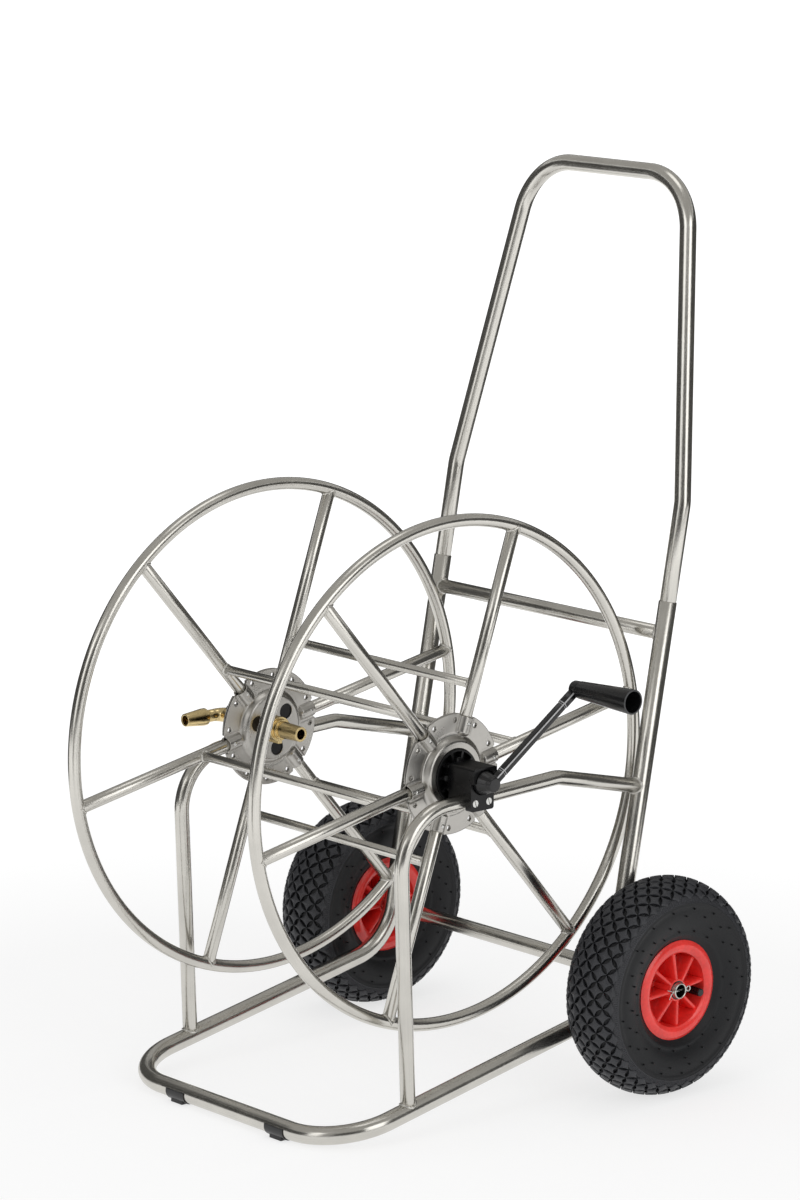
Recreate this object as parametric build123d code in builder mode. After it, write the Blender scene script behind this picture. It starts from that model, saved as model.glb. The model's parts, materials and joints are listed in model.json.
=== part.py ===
from build123d import *
from math import atan, cos, radians, sin, tan
import os

# Garden hose reel cart: a bent tube frame on two pneumatic wheels carries a six-spoke hose reel, which is
# wound by a crank on the right and fed with water through a brass swivel on the left.
# Millimetres. X runs along the axle towards the crank, Y to the rear, Z up from the floor. Each piece is
# drawn with the middle of the axle above X = 0, Y = 0, and write() then moves it so that the origin is the
# middle of the floor rectangle that the cart fills.

# Fits
weld_gap = 0.05
slip_gap = 0.05
running_gap = 0.05
thrust_gap = 0.3

# Frame tube
frame_diameter = 21.5
frame_wall = 0.8
frame_half_width = 195.6
lean = 10.65
rail_rise = 10.65
axle_up_the_upright = 42.8
upright_length = 486.7
rail_bend = 72.0
front_bend = 78.0

# Feet
foot_wall = 2.0
foot_shell = 1.2
foot_width = 32.0
foot_sole = 17.0
foot_sole_width = 20.0
foot_mouth_rise = 3.0
foot_left_x = -80.0
foot_right_x = 98.0

# Handle
handle_wall = 1.2
handle_insert = 60.0
handle_bend_height = 603.3
handle_lean = 10.2
handle_rise = 373.1
handle_half_top = 130.9
handle_low_bend = 60.0
handle_top_bend = 75.0

# Cross tube and support arms
crossbar_diameter = 17.2
crossbar_wall = 1.2
crossbar_up_the_upright = 449.0
arm_diameter = 17.5
arm_wall = 1.2
post_foot_y = -340.0
post_lean = 2.4
arm_corner_z = 377.0
arm_knee_y = -114.0
arm_knee_z = 386.3
arm_rear_z = 354.6
post_bend = 68.0
knee_bend = 45.0

# Axle
axle_diameter = 19.0
axle_wall = 2.0
axle_past_pin = 3.2
pin_play = 1.15
pin_wire = 2.6
pin_eye_radius = 2.9
pin_eye_wire = 1.6
pin_leg_length = 9.0
pin_upper_tilt = 20.0
pin_lower_tilt = 55.0
spacer_wall = 2.5
spacer_length = 18.0

# Wheels
wheel_radius = 130.0
tyre_half_width = 41.0
tyre_shoulder_half_width = 34.0
tyre_shoulder_drop = 11.0
tyre_wall = 5.0
tread_wall = 8.0
inner_tube_wall = 1.6
rim_lip_radius = 59.5
rim_seat_radius = 52.7
rim_opening_radius = 44.25
rim_half_width = 31.65
rim_lip_thickness = 3.1
rim_well_half_width = 15.0
rim_seat_width = 9.5
rim_barrel_wall = 4.5
rim_web = 5.0
rib_count = 8
rib_thickness = 4.0
rib_phase = 4.5
rib_drop = 3.0
wheel_hub_radius = 13.2
wheel_hub_half_length = 29.6
wheel_bush_wall = 1.6
wheel_bush_length = 18.0
valve_radius = 4.8
valve_stem_radius = 3.2
valve_circle = 36.0
valve_angle = -14.0
valve_stem_x = 14.0
valve_proud = 2.3
valve_end_round = 1.5

# Reel
reel_y = -247.66
reel_above_arm = 23.75
ring_radius = 291.3
ring_diameter = 15.0
ring_wall = 1.2
vent_radius = 2.5
spoke_count = 6
spoke_phase = 11.0
spoke_diameter = 15.0
spoke_wall = 1.2
bar_diameter = 11.0
bar_wall = 1.0
bar_circle = 105.0

# Reel hubs
hub_radius = 70.0
hub_plate = 1.5
dish_foot = 45.5
dish_top = 41.5
socket_end_wall = 1.0
socket_mouth = 67.0
socket_flat = 22.0
hub_opening = 31.0
hub_hole_radius = 2.6
hub_hole_circle = 62.5
rivet_radius = 2.0
rivet_head_radius = 3.4
rivet_head = 1.1
rivet_circle = 60.0
window_count = 3
window_radius = 9.3
window_circle = 25.5
window_phase = 42.0
core_gap = 0.4
core_boss_height = 11.0
core_thrust_radius = 14.0
core_thrust_height = 15.0
core_rim = 2.6
core_hub_radius = 17.0
core_fin_count = 10
core_fin = 3.0
core_pocket_depth = 9.0

# Reel brackets
bracket_inner_cheek = 10.85
bracket_outer_cheek = 9.65
bracket_wall = 2.2
bracket_edge = 3.0
bracket_below_arm = 0.5
bracket_recess = 4.8
bracket_hood = 5.0
screw_margin = 3.0
screw_radius = 2.0
screw_head_radius = 4.2
screw_head = 2.6
screw_slot = 1.0
screw_slot_angle = 20.0
screw_bite = 5.0

# Crank
crank_shaft_radius = 8.0
crank_cone_large = 14.3
crank_cone_small = 8.35
crank_cone_length = 25.5
crank_recess_gap = 1.0
crank_reach = 160.4
crank_angle = 34.6
crank_arm_along_cone = 18.5
crank_arm_width = 13.0
crank_arm_thickness = 11.0
crank_bevel = 3.5
crank_neck_cut = 1.5
crank_neck_length = 4.0
crank_neck_from_axis = 20.0
crank_neck_from_knuckle = 28.0
knuckle_radius = 9.5
knuckle_length = 12.0

# Crank grip
grip_gap = 0.3
grip_length = 86.0
grip_inner_radius = 10.2
grip_outer_radius = 14.5
grip_wall = 2.2
grip_web = 13.0
grip_edge = 1.0
grip_pin_radius = 4.0
grip_pin_seat = 9.0
grip_pin_head_radius = 7.0
grip_pin_head = 4.0

# Water joint
water_bore = 5.0
spindle_radius = 11.0
spindle_collar_radius = 13.5
spindle_collar = 7.0
spindle_thread_radius = 8.6
spindle_thread = 10.0
stem_radius = 7.5
stem_length = 26.0
seal_wire = 1.2
seal_from_end = 5.0
seal_pitch = 9.0
elbow_radius = 9.4
elbow_reach = 33.0
elbow_bend = 13.0
tail_land = 5.0
inlet_start = 25.5
inlet_length = 31.0
inlet_large = 10.5
inlet_small = 7.7
outlet_collar_radius = 14.75
outlet_collar = 12.0
outlet_ear = 3.0
outlet_ear_width = 6.0
outlet_step_radius = 12.2
outlet_step = 5.0
outlet_large = 10.0
outlet_small = 8.9
outlet_length = 33.0
outlet_bore = 6.0

# Places worked out from the sizes above
frame_radius = frame_diameter / 2
arm_radius = arm_diameter / 2
axle_radius = axle_diameter / 2
handle_radius = frame_radius - frame_wall - slip_gap
half_track = frame_half_width + frame_radius + weld_gap + spacer_length + thrust_gap + wheel_hub_half_length
pin_x = half_track + wheel_hub_half_length + pin_play + pin_wire / 2
axle_half_length = pin_x + axle_past_pin

up_y, up_z = sin(radians(lean)), cos(radians(lean))
axle_offset = frame_radius + axle_radius + weld_gap
corner_y = -axle_up_the_upright * up_y - axle_offset * up_z
corner_z = wheel_radius - axle_up_the_upright * up_z + axle_offset * up_y
front_z = frame_radius + foot_wall
front_y = corner_y - (corner_z - front_z) / tan(radians(rail_rise))


def upright_at(distance):
    """Y and Z of the uprights' centre line, at a distance up from the corner with the rail."""
    return corner_y + distance * up_y, corner_z + distance * up_z


handle_bend_y, handle_bend_z = upright_at(handle_bend_height)
handle_top_y = handle_bend_y + handle_rise * tan(radians(handle_lean))
handle_top_z = handle_bend_z + handle_rise
arm_corner_y = post_foot_y - arm_corner_z * tan(radians(post_lean))
arm_slope = (arm_knee_z - arm_corner_z) / (arm_knee_y - arm_corner_y)
arm_at_reel_z = arm_knee_z + arm_slope * (reel_y - arm_knee_y)
reel_z = arm_at_reel_z + reel_above_arm

spoke_radius = spoke_diameter / 2
socket_radius = spoke_radius + slip_gap
dish_height = socket_radius + hub_plate
socket_inner = dish_foot + socket_end_wall
spoke_angles = [spoke_phase + 360 / spoke_count * i for i in range(spoke_count)]
ring_x = frame_half_width - arm_radius - bracket_inner_cheek - thrust_gap - core_thrust_height

bracket_inner_x = frame_half_width - arm_radius - bracket_inner_cheek
bracket_outer_x = frame_half_width + arm_radius + bracket_outer_cheek
bracket_length = bracket_outer_x - bracket_inner_x
recess_x = bracket_outer_x - bracket_recess
recess_radius = crank_cone_large + crank_recess_gap
bracket_half_width = recess_radius + bracket_wall
bracket_top = recess_radius + bracket_wall
bracket_bottom = reel_above_arm + arm_radius + bracket_below_arm
screw_spread = bracket_half_width - screw_head_radius - screw_margin
screw_length = bracket_outer_cheek - screw_head + arm_diameter + screw_bite

crank_cone_x = recess_x + thrust_gap
crank_arm_x = crank_cone_x + crank_arm_along_cone
crank_y = reel_y + crank_reach * cos(radians(crank_angle))
crank_z = reel_z + crank_reach * sin(radians(crank_angle))
grip_start_x = crank_arm_x + knuckle_length / 2 + grip_gap
grip_end_x = grip_start_x + grip_length

reel_axis = Axis((0, reel_y, reel_z), (1, 0, 0))
axle_axis = Axis((0, 0, wheel_radius), (1, 0, 0))
crank_axis = Axis((0, crank_y, crank_z), (1, 0, 0))
middle_x = (grip_end_x - half_track - tyre_half_width) / 2
middle_y = (handle_top_y + handle_radius + reel_y - ring_radius - ring_diameter / 2) / 2

os.makedirs("parts", exist_ok=True)


def write(piece, name, x=0, y=0, z=0):
    """Move a finished piece to its place, with the floor rectangle's middle as the origin, label and save it.

    A piece that is drawn round the origin gives the point that it belongs to.
    """
    placed = piece.part.moved(Location((x - middle_x, y - middle_y, z)))
    placed.label = name
    export_step(placed, f"parts/{name}.step")


def lathe(x, y, z):
    """Plane for turned outlines: x runs along the cart's X from a point, y is a radius from the axis."""
    return Plane(origin=(x, y, z), x_dir=(1, 0, 0), z_dir=(0, 0, 1))


def across(x, y, z):
    """Plane square to X, with the cart's Y and Z as its own x and y."""
    return Plane(origin=(x, y, z), x_dir=(0, 1, 0), z_dir=(1, 0, 0))


def outwards(angle):
    """Direction away from an axis along X, at an angle from the rear towards the top."""
    return 0, cos(radians(angle)), sin(radians(angle))


def from_reel(x, radius, angle):
    """Point at a radius and an angle round the reel's axis."""
    _, y, z = outwards(angle)
    return x, reel_y + radius * y, reel_z + radius * z


def rod(start, along, radius, length, mode=Mode.ADD):
    """Round bar, or bore, in the open part: from a point along a direction."""
    with BuildSketch(Plane(start, z_dir=along)) as section:
        Circle(radius)
    extrude(section.sketch, amount=length, mode=mode)


def cope(at, along, radius):
    """Fish-mouth the open part where its end meets a round tube that passes through a point."""
    with BuildSketch(Plane(at, z_dir=along)) as section:
        Circle(radius + weld_gap)
    extrude(section.sketch, amount=6 * radius, both=True, mode=Mode.SUBTRACT)


def straight_tube(x, y, z, length, radius, wall):
    """Tube along X in the open part, reaching a length to both sides of a point."""
    with BuildSketch(across(x, y, z)) as section:
        Circle(radius)
        Circle(radius - wall, mode=Mode.SUBTRACT)
    extrude(section.sketch, amount=length, both=True)


def bent_tube(points, bends, radius, wall):
    """Tube in the open part, along straight runs joined by bends, square at both ends."""
    with BuildLine() as run:
        FilletPolyline(*points, radius=bends)
    with BuildSketch(Plane(run.line @ 0, z_dir=run.line % 0)) as section:
        Circle(radius)
        Circle(radius - wall, mode=Mode.SUBTRACT)
    sweep(section.sketch, path=run.line)


def turn(plane, axis, points, mode=Mode.ADD):
    """Revolve an outline of straight lines round an axis, in the open part."""
    with BuildSketch(plane) as outline:
        with BuildLine():
            Polyline(*points, close=True)
        make_face()
    revolve(outline.sketch, axis=axis, mode=mode)


def both_sides(points):
    """A run of points on the right, followed by its mirror image on the left."""
    return points + [(-x, y, z) for x, y, z in reversed(points)]


def frame_tube():
    """One tube bent into two uprights, two rails and the front bar."""
    top_y, top_z = upright_at(upright_length)
    points = [
        (frame_half_width, top_y, top_z),
        (frame_half_width, corner_y, corner_z),
        (frame_half_width, front_y, front_z),
    ]
    bends = [rail_bend, front_bend, front_bend, rail_bend]
    with BuildPart() as tube:
        bent_tube(both_sides(points), bends, frame_radius, frame_wall)
    return tube


def handle():
    """Arch of slightly thinner tube, whose legs push down inside the uprights."""
    leg_y, leg_z = upright_at(upright_length - handle_insert)
    points = [
        (frame_half_width, leg_y, leg_z),
        (frame_half_width, handle_bend_y, handle_bend_z),
        (handle_half_top, handle_top_y, handle_top_z),
    ]
    bends = [handle_low_bend, handle_top_bend, handle_top_bend, handle_low_bend]
    with BuildPart() as tube:
        bent_tube(both_sides(points), bends, handle_radius, handle_wall)
    return tube


def rear_crossbar():
    """Cross tube welded between the uprights."""
    y, z = upright_at(crossbar_up_the_upright)
    with BuildPart() as tube:
        straight_tube(0, y, z, frame_half_width, crossbar_diameter / 2, crossbar_wall)
        for side in (-1, 1):
            cope((side * frame_half_width, y, z), (0, up_y, up_z), frame_radius)
    return tube


def support_arm(side):
    """Post and arm in one tube: up from the rail, back over the bracket and down into the upright."""
    x = side * frame_half_width
    rail_slope = tan(radians(rail_rise))
    foot_z = front_z + (post_foot_y - front_y) * rail_slope
    foot = (x, post_foot_y - foot_z * tan(radians(post_lean)), foot_z)
    rear = (x, corner_y + (arm_rear_z - corner_z) * up_y / up_z, arm_rear_z)
    points = [foot, (x, arm_corner_y, arm_corner_z), (x, arm_knee_y, arm_knee_z), rear]
    with BuildPart() as arm:
        bent_tube(points, [post_bend, knee_bend], arm_radius, arm_wall)
        cope(foot, (0, 1, rail_slope), frame_radius)
        cope(rear, (0, up_y, up_z), frame_radius)
        for offset in (-screw_spread, screw_spread):
            start = (x - arm_diameter, reel_y + offset, arm_at_reel_z)
            rod(start, (1, 0, 0), screw_radius + slip_gap, 2 * arm_diameter, Mode.SUBTRACT)
    return arm


def foot_clip(x):
    """Plastic clip that wraps the front bar from below, open at the top, with a flat sole on the floor."""
    shell = frame_radius + foot_shell
    with BuildPart() as clip:
        rod((x - foot_width / 2, front_y, front_z), (1, 0, 0), shell, foot_width)
        with BuildSketch(across(x, front_y, front_z / 2)):
            Rectangle(foot_sole, front_z)
        extrude(amount=foot_sole_width / 2, both=True)
        rod((x - foot_width, front_y, front_z), (1, 0, 0), frame_radius + slip_gap, 2 * foot_width, Mode.SUBTRACT)
        with BuildSketch(across(x, front_y, front_z + foot_mouth_rise + shell)):
            Rectangle(4 * shell, 2 * shell)
        extrude(amount=foot_width, both=True, mode=Mode.SUBTRACT)
    return clip


def axle():
    """Plain tube welded behind both uprights, drilled for a split pin at each end."""
    with BuildPart() as tube:
        straight_tube(0, 0, wheel_radius, axle_half_length, axle_radius, axle_wall)
        for side in (-1, 1):
            start = (side * pin_x, -axle_diameter, wheel_radius)
            rod(start, (0, 1, 0), pin_wire / 2 + slip_gap, 2 * axle_diameter, Mode.SUBTRACT)
    return tube


def wheel_spacers():
    """Two sleeves on the axle that keep the wheels off the uprights."""
    start = frame_half_width + frame_radius + weld_gap
    inner = axle_radius + slip_gap
    outer = inner + spacer_wall
    with BuildPart() as sleeves:
        for side in (-1, 1):
            ends = (side * start, side * (start + spacer_length))
            points = [(ends[0], inner), (ends[1], inner), (ends[1], outer), (ends[0], outer)]
            turn(lathe(0, 0, wheel_radius), axle_axis, points)
    return sleeves


def split_pin(side):
    """Split pin through the axle: an eye at the rear, a shank, and two legs spread at the front."""
    x = side * pin_x
    front = -axle_radius - pin_wire
    leg_radius = pin_wire / 4
    with BuildPart() as pin:
        rod((x, front, wheel_radius), (0, 1, 0), pin_wire / 2, -2 * front)
        with Locations(across(x, pin_eye_radius - front, wheel_radius).location):
            Torus(pin_eye_radius, pin_eye_wire / 2)
        for spread, tilt in ((-1, pin_lower_tilt), (1, pin_upper_tilt)):
            leg = (0, -cos(radians(tilt)), spread * sin(radians(tilt)))
            start = (x, front + pin_wire / 2, wheel_radius + spread * leg_radius)
            rod(start, leg, leg_radius, pin_leg_length)
    return pin


def tyre_outline(side_margin, crown_margin, floor_margin):
    """The tyre's outline from bead to bead, drawn in by a margin at its sides, crown and floor."""
    bead_x = rim_half_width - rim_lip_thickness - slip_gap - side_margin
    floor = rim_seat_radius + slip_gap + floor_margin
    belly = (tyre_half_width - side_margin, (rim_seat_radius + wheel_radius) / 2)
    shoulder = (tyre_shoulder_half_width - side_margin, wheel_radius - tyre_shoulder_drop - crown_margin)
    lip = (bead_x, rim_lip_radius + floor_margin)
    Line((-bead_x, floor), (bead_x, floor))
    Line((bead_x, floor), lip)
    ThreePointArc(lip, belly, shoulder)
    ThreePointArc(shoulder, (0, wheel_radius - crown_margin), (-shoulder[0], shoulder[1]))
    ThreePointArc((-shoulder[0], shoulder[1]), (-belly[0], belly[1]), (-lip[0], lip[1]))
    Line((-lip[0], lip[1]), (-bead_x, floor))


def between_outlines(side, outer, inner):
    """Revolve what lies between two of the tyre's outlines round the axle, in the open part."""
    with BuildSketch(lathe(side * half_track, 0, wheel_radius)) as section:
        with BuildLine():
            tyre_outline(*outer)
        make_face()
        with BuildLine():
            tyre_outline(*inner)
        make_face(mode=Mode.SUBTRACT)
    revolve(section.sketch, axis=axle_axis)


def valve_foot(side, radius):
    """Point on the line of a wheel's valve stem, at a radius from the axle."""
    _, y, z = outwards(valve_angle)
    return side * (half_track + valve_stem_x), radius * y, wheel_radius + radius * z


def tyre(side):
    """Rubber tyre, open towards the rim."""
    with BuildPart() as piece:
        between_outlines(side, (0, 0, 0), (tyre_wall, tread_wall, 0))
    return piece


def inner_tube(side):
    """Air tube that fills the tyre, open only at its valve."""
    outer = (tyre_wall + slip_gap, tread_wall + slip_gap, 0)
    inner = [margin + inner_tube_wall for margin in outer]
    with BuildPart() as piece:
        between_outlines(side, outer, inner)
        start = valve_foot(side, rim_seat_radius - inner_tube_wall)
        hole = valve_stem_radius + slip_gap
        rod(start, outwards(valve_angle), hole, 3 * inner_tube_wall, Mode.SUBTRACT)
    return piece


def valve(side):
    """Rubber valve: a stem from the air tube through the barrel, turned outwards into a capped end."""
    end_x = side * (half_track + rim_half_width + valve_proud)
    stem_from = rim_seat_radius + inner_tube_wall
    elbow = valve_foot(side, valve_circle)
    start = (elbow[0] - side * valve_radius, elbow[1], elbow[2])
    with BuildPart() as piece:
        rod(start, (side, 0, 0), valve_radius, abs(end_x - start[0]))
        fillet(piece.edges().filter_by(GeomType.CIRCLE), valve_end_round)
        inwards = [-part for part in outwards(valve_angle)]
        rod(valve_foot(side, stem_from), inwards, valve_stem_radius, stem_from - valve_circle)
    return piece


def wheel_rim(side):
    """Moulded rim: a barrel with two broad lips, a middle web, a hub, and ribs on both faces."""
    x = side * half_track
    back = rim_half_width - rim_lip_thickness
    well = rim_opening_radius + rim_barrel_wall
    seat_x = back - rim_seat_width
    nose = (rim_half_width, (rim_lip_radius + rim_opening_radius) / 2)
    edge = (rim_half_width - rim_lip_thickness / 2, rim_opening_radius)
    rib_end = wheel_hub_half_length - rib_drop
    with BuildPart() as rim:
        with BuildSketch(lathe(x, 0, wheel_radius)):
            with BuildLine():
                outside = [(0, well), (rim_well_half_width, well), (seat_x, rim_seat_radius)]
                Polyline(*outside, (back, rim_seat_radius), (back, rim_lip_radius))
                ThreePointArc((back, rim_lip_radius), nose, edge)
                Polyline(edge, (0, rim_opening_radius), (0, well))
            make_face()
            mirror(about=Plane.YZ)
        revolve(axis=axle_axis)
        with BuildSketch(across(x, 0, wheel_radius)):
            Circle(rim_opening_radius + rim_barrel_wall / 2)
        extrude(amount=rim_web / 2, both=True)
        with BuildSketch(across(x, 0, wheel_radius)):
            Circle(wheel_hub_radius)
        extrude(amount=wheel_hub_half_length, both=True)
        for i in range(rib_count):
            _, y, z = outwards(rib_phase + 360 / rib_count * i)
            with BuildSketch(Plane((x, 0, wheel_radius), x_dir=(1, 0, 0), z_dir=(0, -z, y))):
                with BuildLine():
                    root = rim_opening_radius + rim_barrel_wall / 2
                    hub_ends = [(-wheel_hub_half_length, 0), (wheel_hub_half_length, 0)]
                    Polyline(*hub_ends, (rib_end, root), (-rib_end, root), close=True)
                make_face()
            extrude(amount=rib_thickness / 2, both=True)
        bore = axle_radius + running_gap + wheel_bush_wall + slip_gap
        rod((x - 2 * rim_half_width, 0, wheel_radius), (1, 0, 0), bore, 4 * rim_half_width, Mode.SUBTRACT)
        hole = valve_stem_radius + slip_gap
        rod(valve_foot(side, valve_circle), outwards(valve_angle), hole, valve_circle, Mode.SUBTRACT)
    return rim


def wheel_bushes(side):
    """Two plain bushes pressed into the ends of a wheel's hub."""
    inner = axle_radius + running_gap
    outer = inner + wheel_bush_wall
    with BuildPart() as bushes:
        for end in (-1, 1):
            far = end * wheel_hub_half_length
            near = end * (wheel_hub_half_length - wheel_bush_length)
            points = [(near, inner), (far, inner), (far, outer), (near, outer)]
            turn(lathe(side * half_track, 0, wheel_radius), axle_axis, points)
    return bushes


def reel_ring(side):
    """Tube bent into the reel's outer ring, drilled under the end of each spoke."""
    x = side * ring_x
    with BuildPart() as ring:
        with BuildSketch(lathe(x, reel_y, reel_z)):
            with Locations((0, ring_radius)):
                Circle(ring_diameter / 2)
                Circle(ring_diameter / 2 - ring_wall, mode=Mode.SUBTRACT)
        revolve(axis=reel_axis)
        for angle in spoke_angles:
            start = from_reel(x, ring_radius - ring_diameter, angle)
            rod(start, outwards(angle), vent_radius, ring_diameter, Mode.SUBTRACT)
    return ring


def spoke(side, angle):
    """Tube from its socket between the hub plates to the ring, fish-mouthed and drilled for a rivet."""
    x = side * ring_x
    start = from_reel(x, socket_inner + slip_gap, angle)
    length = ring_radius - socket_inner - slip_gap
    with BuildPart() as tube:
        with BuildSketch(Plane(start, z_dir=outwards(angle))):
            Circle(spoke_radius)
            Circle(spoke_radius - spoke_wall, mode=Mode.SUBTRACT)
        extrude(amount=length)
        with BuildSketch(lathe(x, reel_y, reel_z)):
            with Locations((0, ring_radius)):
                Circle(ring_diameter / 2 + weld_gap)
        revolve(axis=reel_axis, mode=Mode.SUBTRACT)
        through = from_reel(x - spoke_diameter, rivet_circle, angle)
        rod(through, (1, 0, 0), rivet_radius + slip_gap, 2 * spoke_diameter, Mode.SUBTRACT)
    return tube


def drum_bar(angle):
    """Thin tube between a left and a right spoke; the six of them make the drum."""
    _, y, z = from_reel(0, bar_circle, angle)
    with BuildPart() as tube:
        straight_tube(0, y, z, ring_x, bar_diameter / 2, bar_wall)
        for side in (-1, 1):
            cope((side * ring_x, y, z), outwards(angle), spoke_radius)
    return tube


def hub_plate_pressing(way, centre_hole, windows):
    """Pressed hub plate, drawn round the origin: a flange, a raised dish, and a half socket for each spoke."""
    middle = lathe(0, 0, 0)
    face = way * slip_gap
    flange = way * (slip_gap + hub_plate)
    top = way * dish_height
    ceiling = way * socket_radius
    with BuildPart() as plate:
        rim = [(face, hub_radius), (flange, hub_radius), (flange, dish_foot)]
        turn(middle, Axis.X, [(face, 0), *rim, (top, dish_top), (top, 0)])
        for angle in spoke_angles:
            start = [dish_top * part for part in outwards(angle)]
            rod(start, outwards(angle), dish_height, socket_mouth - dish_top)
        split(bisect_by=Plane((face, 0, 0), z_dir=(way, 0, 0)), keep=Keep.TOP)
        hollow = [(0, 0), (0, dish_foot - hub_plate), (ceiling, dish_top - hub_plate), (ceiling, 0)]
        turn(middle, Axis.X, hollow, Mode.SUBTRACT)
        for angle in spoke_angles:
            start = [socket_inner * part for part in outwards(angle)]
            rod(start, outwards(angle), socket_radius, hub_radius, Mode.SUBTRACT)
        with BuildSketch(across(0, 0, 0)):
            with PolarLocations(socket_mouth + socket_flat / 2, spoke_count, start_angle=spoke_phase):
                Rectangle(socket_flat, socket_flat)
            first_hole = spoke_phase + 90 / spoke_count
            with PolarLocations(hub_hole_circle, 2 * spoke_count, start_angle=first_hole):
                Circle(hub_hole_radius)
            with PolarLocations(rivet_circle, spoke_count, start_angle=spoke_phase):
                Circle(rivet_radius + slip_gap)
            Circle(centre_hole)
            if windows:
                with PolarLocations(window_circle, windows, start_angle=window_phase):
                    Circle(window_radius)
        extrude(amount=2 * dish_height, both=True, mode=Mode.SUBTRACT)
    return plate


def hub_rivets():
    """One rivet through each spoke and both of its hub plates."""
    with BuildPart() as rivets:
        for side in (-1, 1):
            x = side * ring_x
            for angle in spoke_angles:
                shank = from_reel(x - dish_height, rivet_circle, angle)
                rod(shank, (1, 0, 0), rivet_radius, 2 * dish_height)
                for end in (-1, 1):
                    head = from_reel(x + end * dish_height, rivet_circle, angle)
                    rod(head, (end, 0, 0), rivet_head_radius, rivet_head)
    return rivets


def hub_core(side, bore):
    """Moulded core held between a hub's two plates, finned on its outer face, with a thrust boss."""
    x = side * ring_x
    half = side * (socket_radius - slip_gap)
    boss = side * core_boss_height
    thrust = side * core_thrust_height
    flange_radius = dish_top - hub_plate - core_gap
    boss_radius = hub_opening - core_gap
    with BuildPart() as core:
        body = [(-half, 0), (-half, flange_radius), (half, flange_radius), (half, boss_radius)]
        nose = [(boss, boss_radius), (boss, core_thrust_radius), (thrust, core_thrust_radius), (thrust, 0)]
        turn(lathe(x, reel_y, reel_z), reel_axis, body + nose)
        with BuildSketch(across(x + boss, reel_y, reel_z)):
            Circle(boss_radius - core_rim)
            Circle(core_hub_radius, mode=Mode.SUBTRACT)
            with PolarLocations(boss_radius / 2, core_fin_count):
                Rectangle(boss_radius, core_fin, mode=Mode.SUBTRACT)
        extrude(amount=-side * core_pocket_depth, mode=Mode.SUBTRACT)
        rod((x - 2 * half, reel_y, reel_z), (side, 0, 0), bore, 4 * core_thrust_height, Mode.SUBTRACT)
    return core


def bracket(side, bore):
    """Moulded bearing block: it saddles the support arm and carries one end of the reel in its bore."""
    x = side * frame_half_width
    inner_x = side * bracket_inner_x
    outer_x = side * bracket_outer_x
    saddle = arm_radius + slip_gap
    arm_angle = atan(arm_slope)
    with BuildPart() as block:
        with BuildSketch(across(inner_x, reel_y, reel_z)) as face:
            with Locations((0, (bracket_top - bracket_bottom) / 2)):
                Rectangle(2 * bracket_half_width, bracket_top + bracket_bottom)
            fillet(face.vertices(), bracket_edge)
        extrude(amount=side * bracket_length)
        with BuildSketch(across(outer_x, reel_y, reel_z)) as hood:
            with Locations((0, bracket_top / 2)):
                Rectangle(2 * bracket_half_width, bracket_top)
            fillet(hood.vertices().group_by(Axis.Y)[-1], bracket_edge)
        extrude(amount=side * bracket_hood)
        with BuildSketch(across(x, reel_y, arm_at_reel_z)):
            with Locations((0, -bracket_bottom)):
                Rectangle(4 * bracket_half_width, 2 * bracket_bottom)
        extrude(amount=saddle, both=True, mode=Mode.SUBTRACT)
        behind = 2 * bracket_half_width
        start = (x, reel_y - behind, arm_at_reel_z - behind * arm_slope)
        rod(start, (0, cos(arm_angle), sin(arm_angle)), saddle, 2 * behind, Mode.SUBTRACT)
        rod((inner_x, reel_y, reel_z), (side, 0, 0), bore, bracket_length, Mode.SUBTRACT)
        rod((side * recess_x, reel_y, reel_z), (side, 0, 0), recess_radius, bracket_length, Mode.SUBTRACT)
        for offset in (-screw_spread, screw_spread):
            seat = (outer_x - side * screw_head, reel_y + offset, arm_at_reel_z)
            rod(seat, (side, 0, 0), screw_head_radius + slip_gap, bracket_length, Mode.SUBTRACT)
            rod(seat, (-side, 0, 0), screw_radius + slip_gap, screw_length + slip_gap, Mode.SUBTRACT)
    return block


def bracket_screws(side):
    """Two slotted screws through a bracket's outer cheek and the arm into its inner cheek."""
    outer_x = side * bracket_outer_x
    with BuildPart() as screws:
        for offset in (-screw_spread, screw_spread):
            seat = (outer_x - side * screw_head, reel_y + offset, arm_at_reel_z)
            rod(seat, (side, 0, 0), screw_head_radius, screw_head)
            rod(seat, (-side, 0, 0), screw_radius, screw_length)
            with BuildSketch(across(outer_x, reel_y + offset, arm_at_reel_z)):
                Rectangle(screw_slot, 3 * screw_head_radius, rotation=screw_slot_angle)
            extrude(amount=screw_head / 2, both=True, mode=Mode.SUBTRACT)
    return screws


def crank_shaft():
    """Steel shaft from the right hub's core through its bracket into the crank."""
    start = ring_x - dish_height
    with BuildPart() as shaft:
        rod((start, reel_y, reel_z), (1, 0, 0), crank_shaft_radius, crank_arm_x - start)
    return shaft


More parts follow.
